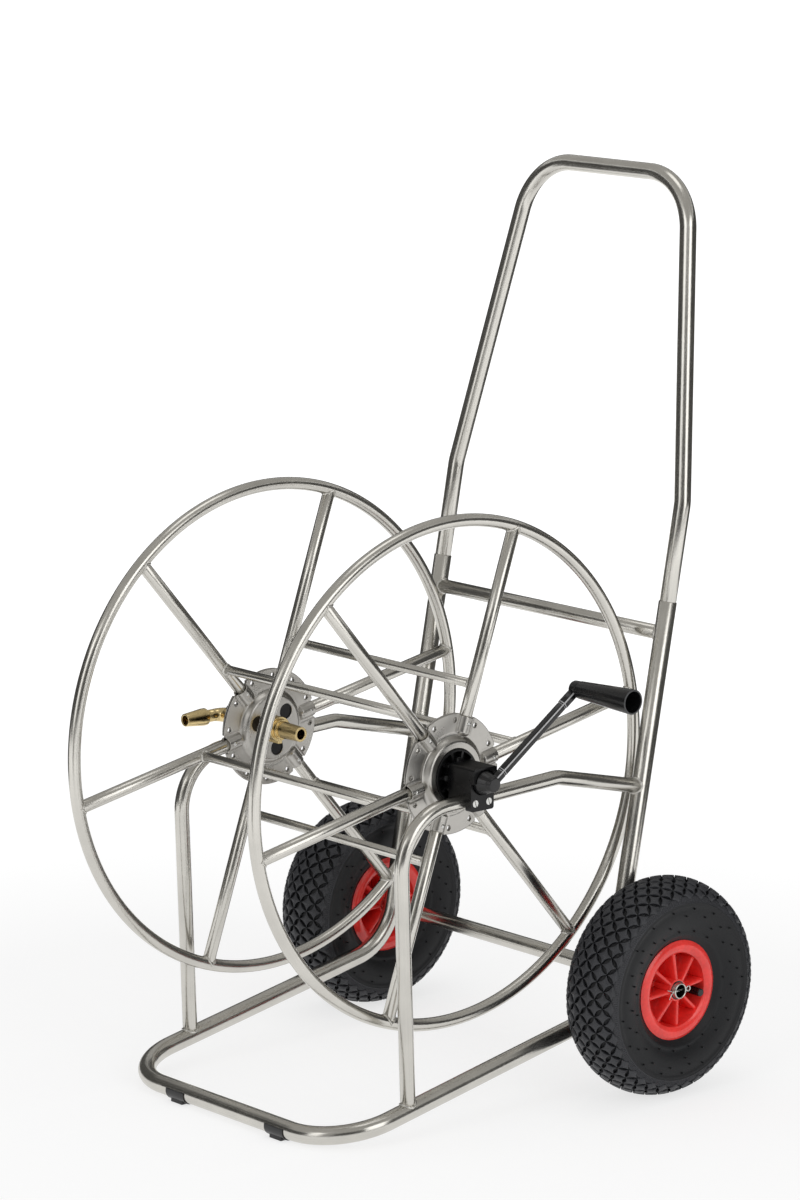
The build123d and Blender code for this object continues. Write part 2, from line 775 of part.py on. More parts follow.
def crank_arm():
    """Moulded crank: a conical boss on the shaft, a bevelled arm with two necks, and the grip's knuckle."""
    x = crank_arm_x
    along = outwards(crank_angle)
    socket = crank_shaft_radius + slip_gap
    section = Plane((x, reel_y, reel_z), x_dir=(1, 0, 0), z_dir=along)
    with BuildPart() as crank:
        with BuildSketch(section) as outline:
            Rectangle(crank_arm_thickness, crank_arm_width)
            chamfer(outline.vertices(), crank_bevel)
        extrude(amount=crank_reach)
        for distance in (crank_neck_from_axis, crank_reach - crank_neck_from_knuckle):
            with BuildSketch(section.offset(distance)):
                Rectangle(2 * crank_arm_thickness, 2 * crank_arm_width)
                thickness = crank_arm_thickness - 2 * crank_neck_cut
                width = crank_arm_width - 2 * crank_neck_cut
                Rectangle(thickness, width, mode=Mode.SUBTRACT)
            extrude(amount=crank_neck_length, mode=Mode.SUBTRACT)
        large = (crank_cone_x, crank_cone_large)
        small = (crank_cone_x + crank_cone_length, crank_cone_small)
        turn(lathe(0, reel_y, reel_z), reel_axis, [(large[0], 0), large, small, (small[0], 0)])
        knuckle_x = x - knuckle_length / 2
        rod((knuckle_x, crank_y, crank_z), (1, 0, 0), knuckle_radius, knuckle_length)
        rod((crank_cone_x, reel_y, reel_z), (1, 0, 0), socket, x + slip_gap - crank_cone_x, Mode.SUBTRACT)
        mouth = (grip_start_x - grip_gap, crank_y, crank_z)
        rod(mouth, (-1, 0, 0), grip_pin_radius + slip_gap, grip_pin_seat, Mode.SUBTRACT)
    return crank


def grip_pin():
    """Headed pin fixed in the crank's knuckle, on which the grip turns."""
    seat = grip_start_x - grip_gap - grip_pin_seat + slip_gap
    head = grip_start_x + grip_web + grip_gap
    with BuildPart() as pin:
        rod((seat, crank_y, crank_z), (1, 0, 0), grip_pin_radius, head - seat)
        rod((head, crank_y, crank_z), (1, 0, 0), grip_pin_head_radius, grip_pin_head)
    return pin


def grip():
    """Hollow grip that widens outwards, with a thick inner web bored for its pin and an open end."""
    bore = grip_pin_radius + running_gap
    taper = (grip_outer_radius - grip_inner_radius) / grip_length
    web_radius = grip_inner_radius + taper * grip_web - grip_wall
    web_x = grip_start_x + grip_web
    outside = [(grip_start_x, bore), (grip_start_x, grip_inner_radius), (grip_end_x, grip_outer_radius)]
    inside = [(grip_end_x, grip_outer_radius - grip_wall), (web_x, web_radius), (web_x, bore)]
    with BuildPart() as piece:
        turn(lathe(0, crank_y, crank_z), crank_axis, outside + inside)
        rims = piece.edges().filter_by(GeomType.CIRCLE).sort_by(SortBy.RADIUS)
        widest = [edge for edge in rims if edge.radius > grip_outer_radius - grip_edge]
        inner_end = [edge for edge in rims if abs(edge.radius - grip_inner_radius) < grip_edge / 2]
        fillet(widest + inner_end, grip_edge)
    return piece


def swivel_spindle():
    """Brass spindle that carries the reel's left end: water passes through it, and its collar is outside."""
    inner = -(ring_x - dish_height)
    collar = -crank_cone_x
    end = collar - spindle_collar
    socket = stem_radius + running_gap
    with BuildPart() as spindle:
        thread = [(inner + spindle_thread, 0), (inner + spindle_thread, spindle_thread_radius)]
        body = [(inner, spindle_thread_radius), (inner, spindle_radius), (collar, spindle_radius)]
        head = [(collar, spindle_collar_radius), (end, spindle_collar_radius), (end, 0)]
        turn(lathe(0, reel_y, reel_z), reel_axis, thread + body + head)
        rod((end, reel_y, reel_z), (1, 0, 0), water_bore, ring_x, Mode.SUBTRACT)
        rod((end, reel_y, reel_z), (1, 0, 0), socket, stem_length, Mode.SUBTRACT)
    return spindle


def outlet_tail():
    """Brass hose tail on the spindle's inner end: a collar with an ear, a step and a tapered tail."""
    start = -(ring_x - dish_height) + slip_gap
    step = start + outlet_collar
    tail = step + outlet_step
    end = tail + outlet_length
    with BuildPart() as outlet:
        collar = [(start, 0), (start, outlet_collar_radius), (step, outlet_collar_radius)]
        steps = [(step, outlet_step_radius), (tail, outlet_step_radius), (tail, outlet_large)]
        taper = [(tail + tail_land, outlet_large), (end, outlet_small), (end, 0)]
        turn(lathe(0, reel_y, reel_z), reel_axis, collar + steps + taper)
        with BuildSketch(across(start, reel_y, reel_z)):
            with Locations((0, -outlet_collar_radius)):
                Rectangle(outlet_ear_width, 2 * outlet_ear)
        extrude(amount=outlet_collar)
        rod((start, reel_y, reel_z), (1, 0, 0), outlet_bore, ring_x, Mode.SUBTRACT)
        thread = spindle_thread_radius + slip_gap
        rod((start, reel_y, reel_z), (1, 0, 0), thread, spindle_thread + slip_gap, Mode.SUBTRACT)
    return outlet


def inlet_elbow():
    """Brass elbow that turns in the spindle: a grooved stem, a bend to the front, a tapered hose tail."""
    collar_end = -(crank_cone_x + spindle_collar)
    stem_end = collar_end + stem_length - thrust_gap
    neck = collar_end - thrust_gap
    turn_x = collar_end - elbow_reach
    tail_y = reel_y - inlet_start
    tail_axis = Axis((turn_x, reel_y, reel_z), (0, 1, 0))
    with BuildPart() as elbow:
        rod((stem_end, reel_y, reel_z), (-1, 0, 0), stem_radius, stem_end - neck)
        with BuildLine() as run:
            points = [(neck, reel_y, reel_z), (turn_x, reel_y, reel_z), (turn_x, tail_y, reel_z)]
            FilletPolyline(*points, radius=elbow_bend)
        with BuildSketch(Plane(run.line @ 0, z_dir=run.line % 0)):
            Circle(elbow_radius)
        sweep(path=run.line)
        land = tail_y - tail_land
        end = tail_y - inlet_length
        outline = [(0, tail_y), (inlet_large, tail_y), (inlet_large, land), (inlet_small, end), (0, end)]
        turn(Plane((turn_x, 0, reel_z), x_dir=(1, 0, 0), z_dir=(0, 0, 1)), tail_axis, outline)
        rod((stem_end, reel_y, reel_z), (-1, 0, 0), water_bore, stem_end - turn_x, Mode.SUBTRACT)
        rod((turn_x, end, reel_z), (0, 1, 0), water_bore, reel_y - end, Mode.SUBTRACT)
        for i in range(2):
            middle = stem_end - seal_from_end - seal_pitch * i
            low, high = middle - seal_wire / 2, middle + seal_wire / 2
            floor = stem_radius - seal_wire - slip_gap
            groove = [(low, floor), (low, spindle_radius), (high, spindle_radius), (high, floor)]
            turn(lathe(0, reel_y, reel_z), reel_axis, groove, Mode.SUBTRACT)
    return elbow


def swivel_seals():
    """Two O-rings in the grooves of the elbow's stem."""
    stem_end = -(crank_cone_x + spindle_collar) + stem_length - thrust_gap
    with BuildPart() as seals:
        for i in range(2):
            middle = stem_end - seal_from_end - seal_pitch * i
            with Locations(across(middle, reel_y, reel_z).location):
                Torus(stem_radius - seal_wire / 2, seal_wire / 2 - slip_gap)
    return seals


write(frame_tube(), "frame_tube")
write(handle(), "handle")
write(rear_crossbar(), "rear_crossbar")
write(axle(), "axle")
write(wheel_spacers(), "wheel_spacers")
write(foot_clip(foot_left_x), "foot_clip_left")
write(foot_clip(foot_right_x), "foot_clip_right")

for side, name in ((-1, "left"), (1, "right")):
    write(support_arm(side), f"support_arm_{name}")
    write(bracket_screws(side), f"bracket_screws_{name}")
    write(split_pin(side), f"split_pin_{name}")
    write(tyre(side), f"tyre_{name}")
    write(inner_tube(side), f"inner_tube_{name}")
    write(valve(side), f"valve_{name}")
    write(wheel_rim(side), f"wheel_rim_{name}")
    write(wheel_bushes(side), f"wheel_bushes_{name}")
    write(reel_ring(side), f"reel_ring_{name}")
    for i, angle in enumerate(spoke_angles):
        write(spoke(side, angle), f"spoke_{name}_{i + 1}")

for i, angle in enumerate(spoke_angles):
    write(drum_bar(angle), f"drum_bar_{i + 1}")

write(bracket(-1, spindle_radius + running_gap), "bracket_left")
write(bracket(1, crank_shaft_radius + running_gap), "bracket_right")
write(hub_core(-1, spindle_radius + slip_gap), "hub_core_left")
write(hub_core(1, crank_shaft_radius + slip_gap), "hub_core_right")
for side, name, hole in ((-1, "left", spindle_radius), (1, "right", crank_shaft_radius)):
    place = (side * ring_x, reel_y, reel_z)
    write(hub_plate_pressing(side, hub_opening, 0), f"hub_plate_{name}_outer", *place)
    write(hub_plate_pressing(-side, hole + slip_gap, window_count), f"hub_plate_{name}_inner", *place)
write(hub_rivets(), "hub_rivets")

write(crank_shaft(), "crank_shaft")
write(crank_arm(), "crank_arm")
write(grip_pin(), "grip_pin")
write(grip(), "grip")
write(swivel_spindle(), "swivel_spindle")
write(outlet_tail(), "outlet_tail")
write(inlet_elbow(), "inlet_elbow")
write(swivel_seals(), "swivel_seals")
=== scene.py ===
import math

import bpy
import numpy as np
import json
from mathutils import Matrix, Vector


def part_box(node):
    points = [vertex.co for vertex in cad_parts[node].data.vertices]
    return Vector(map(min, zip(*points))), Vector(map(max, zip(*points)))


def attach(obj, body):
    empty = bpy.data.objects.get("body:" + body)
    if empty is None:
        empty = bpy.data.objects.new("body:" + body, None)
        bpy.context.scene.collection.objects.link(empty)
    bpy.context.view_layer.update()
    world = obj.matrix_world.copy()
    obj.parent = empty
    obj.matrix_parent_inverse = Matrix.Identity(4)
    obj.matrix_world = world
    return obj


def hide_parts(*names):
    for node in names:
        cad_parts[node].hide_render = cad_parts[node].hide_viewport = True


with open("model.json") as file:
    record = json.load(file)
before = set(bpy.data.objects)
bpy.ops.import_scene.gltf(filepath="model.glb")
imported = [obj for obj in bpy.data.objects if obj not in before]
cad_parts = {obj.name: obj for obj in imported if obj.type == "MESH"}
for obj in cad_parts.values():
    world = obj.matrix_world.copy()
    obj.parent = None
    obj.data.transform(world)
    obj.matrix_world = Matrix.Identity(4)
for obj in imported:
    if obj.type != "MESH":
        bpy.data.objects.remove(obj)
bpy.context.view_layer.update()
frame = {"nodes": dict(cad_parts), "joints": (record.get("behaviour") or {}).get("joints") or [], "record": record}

MM = 0.001


def add_node(tree, kind, sockets, **settings):
    """A shader node with its settings, whose sockets are linked to other sockets or given values."""
    node = tree.nodes.new(f"ShaderNode{kind}")
    for name, value in settings.items():
        setattr(node, name, value)
    for name, value in sockets.items():
        if isinstance(value, bpy.types.NodeSocket):
            tree.links.new(value, node.inputs[name])
        else:
            node.inputs[name].default_value = value
    return node


def finish(name, colour, roughness, grain, along, detail, cloud, share, tones, spread, relief):
    """A finish whose tint and roughness follow fine and cloudy noise, and whose bump follows the fine noise.

    The fine noise is drawn out by the grain's three scales. Tones and spread are the lowest and the highest
    share of the colour and of the roughness, and relief is the bump's strength and depth.
    """
    mat = bpy.data.materials.new(name)
    mat.use_nodes = True
    tree = mat.node_tree
    shader = tree.nodes["Principled BSDF"]
    coords = add_node(tree, "TexCoord", {}).outputs
    stretch = add_node(tree, "Mapping", {"Vector": coords[along], "Scale": grain})
    fine = add_node(tree, "TexNoise", {"Vector": stretch.outputs["Vector"], "Scale": 1.0, "Detail": detail})
    broad = add_node(tree, "TexNoise", {"Vector": coords["Object"], "Scale": cloud[0], "Detail": cloud[1]})
    mixed = {"Factor": share, "A": fine.outputs["Fac"], "B": broad.outputs["Fac"]}
    both = add_node(tree, "Mix", mixed, data_type="FLOAT").outputs["Result"]
    tint = add_node(tree, "ValToRGB", {"Fac": both})
    for stop, position, tone in zip(tint.color_ramp.elements, (0.3, 0.7), tones):
        stop.position = position
        stop.color = [c * tone for c in colour] + [1.0]
    tree.links.new(tint.outputs["Color"], shader.inputs["Base Color"])
    ends = {"To Min": roughness * spread[0], "To Max": roughness * spread[1]}
    rough = add_node(tree, "MapRange", {"Value": both, "From Min": 0.3, "From Max": 0.7, **ends})
    tree.links.new(rough.outputs["Result"], shader.inputs["Roughness"])
    height = {"Height": fine.outputs["Fac"], "Strength": relief[0], "Distance": relief[1]}
    tree.links.new(add_node(tree, "Bump", height).outputs["Normal"], shader.inputs["Normal"])
    return mat


def steel_finish(name, colour, roughness, grain, along="Object"):
    """Satin metal, brushed along one axis where its grain is drawn out."""
    noise = (4.0, (26.0, 3.0), 0.45)
    mat = finish(name, colour, roughness, grain, along, *noise, (0.84, 1.1), (0.8, 1.25), (0.06, 0.0002))
    mat.node_tree.nodes["Principled BSDF"].inputs["Metallic"].default_value = 1.0
    return mat


tube_steel = steel_finish("tube_steel", (0.65, 0.632, 0.587), 0.22, (6.0, 240.0, 1.0), "UV")


def added(name, data):
    """An object of the scene that shows some data."""
    thing = bpy.data.objects.new(name, data)
    bpy.context.scene.collection.objects.link(thing)
    return thing


def surface(name, grid, material, around=True, lengthwise=False, uv=None, closed=True):
    """A mesh over a grid of points, or over a stack of such grids: neighbours in a grid make a quad.

    A closed direction wraps round. Where the shell is closed, its volume is the sum of its faces' signed
    cones from the middle, and a negative sum means that the faces are turned over.
    """
    grids = grid if grid.ndim == 4 else grid[None]
    count, rows, cols = grids.shape[:3]
    first_corners = np.arange(rows if lengthwise else rows - 1), np.arange(cols if around else cols - 1)
    row, col = (v.reshape(-1, 1) for v in np.meshgrid(*first_corners, indexing="ij"))
    run, turn = row + np.array([0, 0, 1, 1]), col + np.array([0, 1, 1, 0])
    quads = run % rows * cols + turn % cols
    quads = (quads + np.arange(count)[:, None, None] * rows * cols).reshape(-1, 4)
    points = grids.reshape(-1, 3)
    corner = points[quads] - points.mean(axis=0)
    first = np.cross(corner[:, 0], corner[:, 1]) * corner[:, 2]
    second = np.cross(corner[:, 0], corner[:, 2]) * corner[:, 3]
    over = closed and (first + second).sum() < 0
    order = [0, 3, 2, 1] if over else [0, 1, 2, 3]
    mesh = bpy.data.meshes.new(name)
    mesh.vertices.add(len(points))
    mesh.vertices.foreach_set("co", points.reshape(-1).astype(np.float32))
    mesh.loops.add(quads.size)
    mesh.loops.foreach_set("vertex_index", quads[:, order].reshape(-1).astype(np.int32))
    mesh.polygons.add(len(quads))
    mesh.polygons.foreach_set("loop_start", np.arange(0, quads.size, 4, dtype=np.int32))
    mesh.polygons.foreach_set("use_smooth", np.ones(len(quads), dtype=bool))
    if uv is not None:
        along = np.append(uv, 2 * uv[-1] - uv[-2])[run]
        layer = mesh.uv_layers.new(name="length_and_turn")
        pairs = np.stack([along, turn / cols], axis=-1)[:, order]
        layer.data.foreach_set("uv", pairs.reshape(-1).astype(np.float32))
    mesh.update()
    mesh.validate()
    mesh.materials.append(material)
    return added(name, mesh)


def unit(v):
    """Vectors divided by their lengths."""
    return v / np.linalg.norm(v, axis=-1, keepdims=True)


def bent_path(corners, bends, count=None):
    """Centre line through corners, each rounded by an arc tangent to both of its runs.

    A side vector is turned with each arc about the arc's own axis, so that the tube doesn't twist. An arc has
    a given count of points, or one for every 2.5 degrees and at least six.
    """
    corners = np.array(corners, float)
    ways = unit(corners[1:] - corners[:-1])
    side = unit(np.cross(ways[0], np.eye(3)[np.argmin(np.abs(ways[0]))]))
    points, fronts, normals = [corners[:1]], [ways[:1]], [side[None]]
    for corner, before, after, bend in zip(corners[1:-1], ways[:-1], ways[1:], bends):
        axis = unit(np.cross(before, after))
        turn = math.acos(np.clip(before @ after, -1, 1))
        start = corner - before * bend * math.tan(turn / 2)
        middle = start + np.cross(axis, before) * bend
        t = np.linspace(0, turn, count or max(6, int(math.degrees(turn) / 2.5)))[:, None]

        def swung(v):
            return v * np.cos(t) + np.cross(axis, v) * np.sin(t) + axis * (axis @ v) * (1 - np.cos(t))

        points.append(middle + swung(start - middle))
        fronts.append(swung(before))
        normals.append(swung(side))
        side = normals[-1][-1]
    points.append(corners[-1:])
    fronts.append(ways[-1:])
    normals.append(side[None])
    return np.concatenate(points), np.concatenate(fronts), np.concatenate(normals)


def circle(count):
    """Angles at even steps round a whole turn."""
    return np.linspace(0, 2 * np.pi, count, endpoint=False)


def rings(centres, fronts, normals, radii, segments):
    """Circles square to a path: radius times cosine along the side vector, and sine along the third axis."""
    t = circle(segments)[:, None]
    ring = np.cos(t) * normals[:, None] + np.sin(t) * np.cross(fronts, normals)[:, None]
    return centres[:, None] + ring * radii[:, None, None]


def tube(node, body, path, radius, wall, segments=56, depth=0.03):
    """A round satin tube along a path in place of a node, with rounded lips and a blind bore at both ends.

    At each end the rings step in over the lip to the bore and run back inside it to a point.
    """
    points, fronts, normals = path
    lip = wall * 0.35
    bore = radius - wall
    back = np.array([lip, 0.0, 0.0, lip, depth, depth])[:, None]
    lip_reach = np.array([radius, radius - lip, bore + lip, bore, bore, 1e-5])
    start, stop = points[0] + fronts[0] * back[::-1], points[-1] - fronts[-1] * back
    centre = np.concatenate([start, points[1:-1], stop])
    reach = np.concatenate([lip_reach[::-1], np.full(len(points) - 2, radius), lip_reach])
    times = [len(back)] + [1] * (len(points) - 2) + [len(back)]
    grid = rings(centre, np.repeat(fronts, times, 0), np.repeat(normals, times, 0), reach, segments)
    along = np.concatenate([[0.0], np.cumsum(np.linalg.norm(np.diff(centre, axis=0), axis=1))])
    piece = surface(f"{node}_satin", grid, tube_steel, uv=along)
    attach(piece, body)
    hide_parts(node)
    return piece


frame_low, frame_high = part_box("frame_tube")
frame_radius = 10.75 * MM
frame_wall = 0.8 * MM
lean = math.radians(10.65)
rail_bend, front_bend = 72 * MM, 78 * MM
upright_length = 486.7 * MM
middle_x = (frame_low[0] + frame_high[0]) / 2
frame_half_width = (frame_high[0] - frame_low[0]) / 2 - frame_radius
front_y, front_z = frame_low[1] + frame_radius, frame_low[2] + frame_radius
up = np.array([0.0, math.sin(lean), math.cos(lean)])
top_z = frame_high[2] - frame_radius * math.sin(lean)
corner_z = top_z - upright_length * math.cos(lean)
corner_y = front_y + (corner_z - front_z) / math.tan(lean)


def upright(side, distance):
    """Point on an upright's centre line, at a distance up from its corner with the rail."""
    return np.array([middle_x + side * frame_half_width, corner_y, corner_z]) + distance * up


def mirrored(points):
    """The points on the right, then their mirror images on the left in reverse."""
    flipped = [np.array([2 * middle_x - p[0], p[1], p[2]]) for p in reversed(points)]
    return points + flipped


front_corner = np.array([middle_x + frame_half_width, front_y, front_z])
frame_corners = mirrored([upright(1, upright_length), upright(1, 0), front_corner])
frame_path = bent_path(frame_corners, [rail_bend, front_bend, front_bend, rail_bend])
tube("frame_tube", "frame", frame_path, frame_radius, frame_wall)

# Handle
# An arch of thinner stainless tube, whose legs slide down inside the uprights.
# Its upper legs lean in to a narrow top bar that is held with both hands.
handle_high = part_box("handle")[1]
handle_radius = 9.9 * MM
handle_wall = 1.2 * MM
handle_insert = 60 * MM
handle_bend_height = 603.3 * MM
handle_half_top = 130.9 * MM
low_bend, top_bend = 60 * MM, 75 * MM
handle_top_y, handle_top_z = handle_high[1] - handle_radius, handle_high[2] - handle_radius
handle_top = np.array([middle_x + handle_half_top, handle_top_y, handle_top_z])
leg_end = upright(1, upright_length - handle_insert)
handle_corners = mirrored([leg_end, upright(1, handle_bend_height), handle_top])
handle_path = bent_path(handle_corners, [low_bend, top_bend, top_bend, low_bend])
tube("handle", "frame", handle_path, handle_radius, handle_wall)

# Rear cross tube and axle
# Straight stainless tubes: one is welded between the uprights, the other across their backs as the axle.
# The axle's open ends stand a little out of the wheels, and its bore is rough and painted near black: painted
# shade for the dark inside of the open tube.
def straight(start, end):
    """A path of one run, given its two ends."""
    return bent_path([start, end], [])


def along_x(node):
    """The two ends of a node that runs along X, from the node's own box."""
    low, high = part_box(node)
    y, z = (low[1] + high[1]) / 2, (low[2] + high[2]) / 2
    return np.array([low[0], y, z]), np.array([high[0], y, z])


crossbar_radius = 8.6 * MM
thin_wall = 1.2 * MM
crossbar_ends = along_x("rear_crossbar")
tube("rear_crossbar", "frame", straight(*crossbar_ends), crossbar_radius, thin_wall)
axle_radius = 9.5 * MM
axle_wall = 2 * MM
axle_ends = along_x("axle")
axle = tube("axle", "frame", straight(*axle_ends), axle_radius, axle_wall, depth=0.25)
# Painted shade: the faces inside the axle's bore are painted near black, for the shade inside the open tube.
bore_scale = steel_finish("bore_scale", (0.012, 0.012, 0.011), 0.5, (40.0, 40.0, 40.0))
axle.data.materials.append(bore_scale)


def face_centres(piece):
    """Middle points of a piece's faces."""
    centres = np.zeros(3 * len(piece.data.polygons), dtype=np.float32)
    piece.data.polygons.foreach_get("center", centres)
    return centres.reshape(-1, 3)


def paint_faces(piece, chosen):
    """Give the chosen faces of a piece its second material."""
    piece.data.polygons.foreach_set("material_index", chosen.astype(np.int32))


# The faces inside the bore take the painted shade.
from_middle = np.linalg.norm((face_centres(axle) - axle_ends[0])[:, 1:], axis=1)
paint_faces(axle, from_middle < axle_radius - axle_wall * 0.9)

# Support arms
# Post and arm are one bent tube: it stands on the rail, turns back over a large bend, and slopes down into
# the upright after a knee. Both ends are cut to the round of the tube they meet and welded.
sides = ((-1, "left"), (1, "right"))
arm_radius = 8.75 * MM
post_lean = math.radians(2.4)
post_foot_y = corner_y - 312.14 * MM
arm_corner_z = 377 * MM
arm_knee = np.array([corner_y - 86.14 * MM, 386.3 * MM])
arm_rear_z = 354.6 * MM
post_bend, knee_bend = 68 * MM, 45 * MM
post_foot_z = front_z + (post_foot_y - front_y) * math.tan(lean)


def arm_corners(side):
    """Corners of a support arm's centre line, from its foot in the rail to its end in the upright."""
    x = middle_x + side * frame_half_width
    return np.array([
        (x, post_foot_y - post_foot_z * math.tan(post_lean), post_foot_z),
        (x, post_foot_y - arm_corner_z * math.tan(post_lean), arm_corner_z),
        (x, arm_knee[0], arm_knee[1]),
        upright(side, (arm_rear_z - corner_z) / up[2]),
    ])


for side, name in sides:
    arm_path = bent_path(arm_corners(side), [post_bend, knee_bend])
    tube(f"support_arm_{name}", "frame", arm_path, arm_radius, thin_wall)

# Reel rings, spokes and drum bars
# Two rings of bent tube, each on six tube spokes, with six thinner bars between them that make the drum.
# All are the same satin stainless as the frame and are welded where they meet.
joints = {joint["name"]: np.array(joint["pos_m"]) for joint in frame["joints"]}
reel_centre = joints["reel_spin"]
ring_low, ring_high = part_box("reel_ring_right")
ring_tube = (ring_high[0] - ring_low[0]) / 2
ring_x = (ring_high[0] + ring_low[0]) / 2 - reel_centre[0]
ring_radius = (ring_high[2] - ring_low[2]) / 2 - ring_tube
spoke_phase = 11.0
spoke_radius = 7.5 * MM
spoke_start, spoke_end = 46.55 * MM, ring_radius - 3 * MM
bar_radius, bar_wall = 5.5 * MM, 1 * MM
bar_circle = 105 * MM
spoke_angles = np.radians(spoke_phase + 60 * np.arange(6))


def outwards(angle):
    """Direction away from an axis along X, at an angle from the rear towards the top."""
    return np.array([0.0, math.cos(angle), math.sin(angle)])


def about_x(x, out, turn, off=0.0):
    """Points at a distance out from the X axis at a turn, and off to the side of that direction."""
    y, z = out * np.cos(turn) - off * np.sin(turn), out * np.sin(turn) + off * np.cos(turn)
    return np.stack(np.broadcast_arrays(x, y, z), axis=-1)


def torus(node, body, centre, radius, thickness, turns=240, segments=40):
    """A satin ring round X: a point is radius plus thickness times cosine out, thickness times sine along."""
    s = circle(segments)[None, :]
    grid = about_x(thickness * np.sin(s), radius + thickness * np.cos(s), circle(turns)[:, None]) + centre
    along = np.arange(turns) * 2 * np.pi * radius / turns
    piece = surface(f"{node}_satin", grid, tube_steel, lengthwise=True, uv=along)
    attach(piece, body)
    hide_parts(node)


for side, name in sides:
    ring_centre = reel_centre + np.array([side * ring_x, 0, 0])
    torus(f"reel_ring_{name}", "reel", ring_centre, ring_radius, ring_tube)
    for i, angle in enumerate(spoke_angles):
        ends = [ring_centre + r * outwards(angle) for r in (spoke_start, spoke_end)]
        tube(f"spoke_{name}_{i + 1}", "reel", straight(*ends), spoke_radius, thin_wall)
for i, angle in enumerate(spoke_angles):
    ends = [reel_centre + bar_circle * outwards(angle) + np.array([x, 0, 0]) for x in (-ring_x, ring_x)]
    tube(f"drum_bar_{i + 1}", "reel", straight(*ends), bar_radius, bar_wall, segments=40)

# Welds
# A thin bead of weld runs round each tube end that butts against another tube. It is brushed and left bright.
weld_steel = steel_finish("weld_steel", (0.70, 0.685, 0.645), 0.3, (420.0, 420.0, 420.0))
weld_wire = 1.6 * MM


def weld_bead(centre, away, along, end_radius, side_radius, columns=36, rows=8):
    """A bead round the curve where the end of one round tube meets the side of another.

    A point of the curve is on the end's own cylinder, at the distance along it where it is on the side's
    cylinder too, the larger root of a quadratic. The bead is a small circle carried round that curve, whose
    size swings with a cosine of the turn as the ripples of a weld do.
    """
    away, along = unit(np.array(away, float)), unit(np.array(along, float))
    first = unit(along - away * (along @ away))
    t, s = circle(columns)[:, None], circle(rows)[:, None]
    out = np.cos(t) * first + np.sin(t) * np.cross(away, first)
    flat = np.eye(3) - np.outer(along, along)
    step, start = flat @ away, end_radius * out @ flat
    half = start @ step / (step @ step)
    rest = (np.sum(start**2, axis=1) - side_radius**2) / (step @ step)
    rise = np.sqrt(np.maximum(half**2 - rest, 0)) - half
    curve = centre + end_radius * out + rise[:, None] * away
    wire = weld_wire * (1 + 0.15 * np.cos(12 * t))[:, None]
    return curve[:, None] + wire * (np.cos(s) * out[:, None] + np.sin(s) * away)


reel_beads, frame_beads = [], []
rail = upright(1, 0) - front_corner
for side, _ in sides:
    ring_centre = reel_centre + np.array([side * ring_x, 0, 0])
    for out in map(outwards, spoke_angles):
        round_ring = np.cross((1, 0, 0), out)
        at_ring, at_bar = ring_centre + ring_radius * out, ring_centre + bar_circle * out
        reel_beads.append(weld_bead(at_ring, -out, round_ring, spoke_radius, ring_tube))
        reel_beads.append(weld_bead(at_bar, (-side, 0, 0), out, bar_radius, spoke_radius))
    foot, corner, knee, rear = arm_corners(side)
    frame_beads.append(weld_bead(foot, corner - foot, rail, arm_radius, frame_radius))
    frame_beads.append(weld_bead(rear, knee - rear, up, arm_radius, frame_radius))
    bar_root = upright(side, (crossbar_ends[0][2] - corner_z) / up[2])
    frame_beads.append(weld_bead(bar_root, (-side, 0, 0), up, crossbar_radius, frame_radius))
for body, beads in (("reel", reel_beads), ("frame", frame_beads)):
    welds = surface(f"{body}_welds", np.stack(beads), weld_steel, lengthwise=True)
    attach(welds, body)

# Hub plates
# Each hub is a pair of pressed steel plates, riveted together over the spokes. A plate has a raised dish,
# six half sockets with domed inner ends, raised panels between them, and small holes near its rim.
import bmesh

hub_steel = steel_finish("hub_steel", (0.50, 0.485, 0.455), 0.29, (70.0, 70.0, 70.0))
hub_radius = 70 * MM
hub_sheet = 1.5 * MM
flange_height = 1.55 * MM
dish_height = 9.05 * MM
dish_top, dish_foot = 38.5 * MM, 46 * MM
socket_mouth = 67 * MM
socket_cut = 11 * MM
socket_dome = 49 * MM
groove_radius, groove_width, groove_drop = 39 * MM, 0.6 * MM, 0.3 * MM
panel_start, panel_edge, panel_slope = 48 * MM, 11.6 * MM, 1 * MM
panel_rise = 0.4 * MM
hole_circle = 62.5 * MM
hole_radius, hole_draw = 3.0 * MM, 0.42 * MM
hole_turn = math.radians(15)
window_circle, window_radius = 25.5 * MM, 9.3 * MM
window_phase = 42
outer_opening = 31 * MM
rivet_circle = 60 * MM


def smooth_step(low, high, v):
    """0 below the low value, 1 above the high one, and an S curve between."""
    t = np.clip((v - low) / (high - low), 0, 1)
    return t * t * (3 - 2 * t)


def soft_highest(*heights):
    """The highest of several surfaces with small fillets: the logarithm of the sum of their exponentials."""
    fillet = 0.45 * MM
    top = np.max(heights, axis=0)
    return top + fillet * np.log(sum(np.exp((h - top) / fillet) for h in heights))


def plate_height(y, z):
    """How far the pressing stands out of the middle plane.

    The flange is level, the dish falls to it over a short slope with a fine groove at its top, and a socket
    is a half cylinder about its spoke that ends in half of a flattened dome. The panels between the sockets
    are raised by a small step.
    """
    r = np.hypot(y, z)
    dish = dish_height - (dish_height - flange_height) * smooth_step(dish_top, dish_foot, r)
    dish = dish - groove_drop * np.exp(-(((r - groove_radius) / groove_width) ** 2))
    sockets = []
    aside = np.full_like(r, hub_radius)
    for angle in spoke_angles:
        along = y * math.cos(angle) + z * math.sin(angle)
        off = z * math.cos(angle) - y * math.sin(angle)
        away = np.hypot(2 * np.minimum(along - socket_dome, 0), off)
        sockets.append(np.sqrt(np.maximum(dish_height**2 - away**2, 0)))
        aside = np.where(along > 0, np.minimum(aside, np.abs(off)), aside)
    panel = smooth_step(panel_edge, panel_edge + panel_slope, aside)
    panel = panel * smooth_step(panel_start, panel_start + panel_slope, r)
    return soft_highest(flange_height + panel_rise * panel, dish, *sockets)


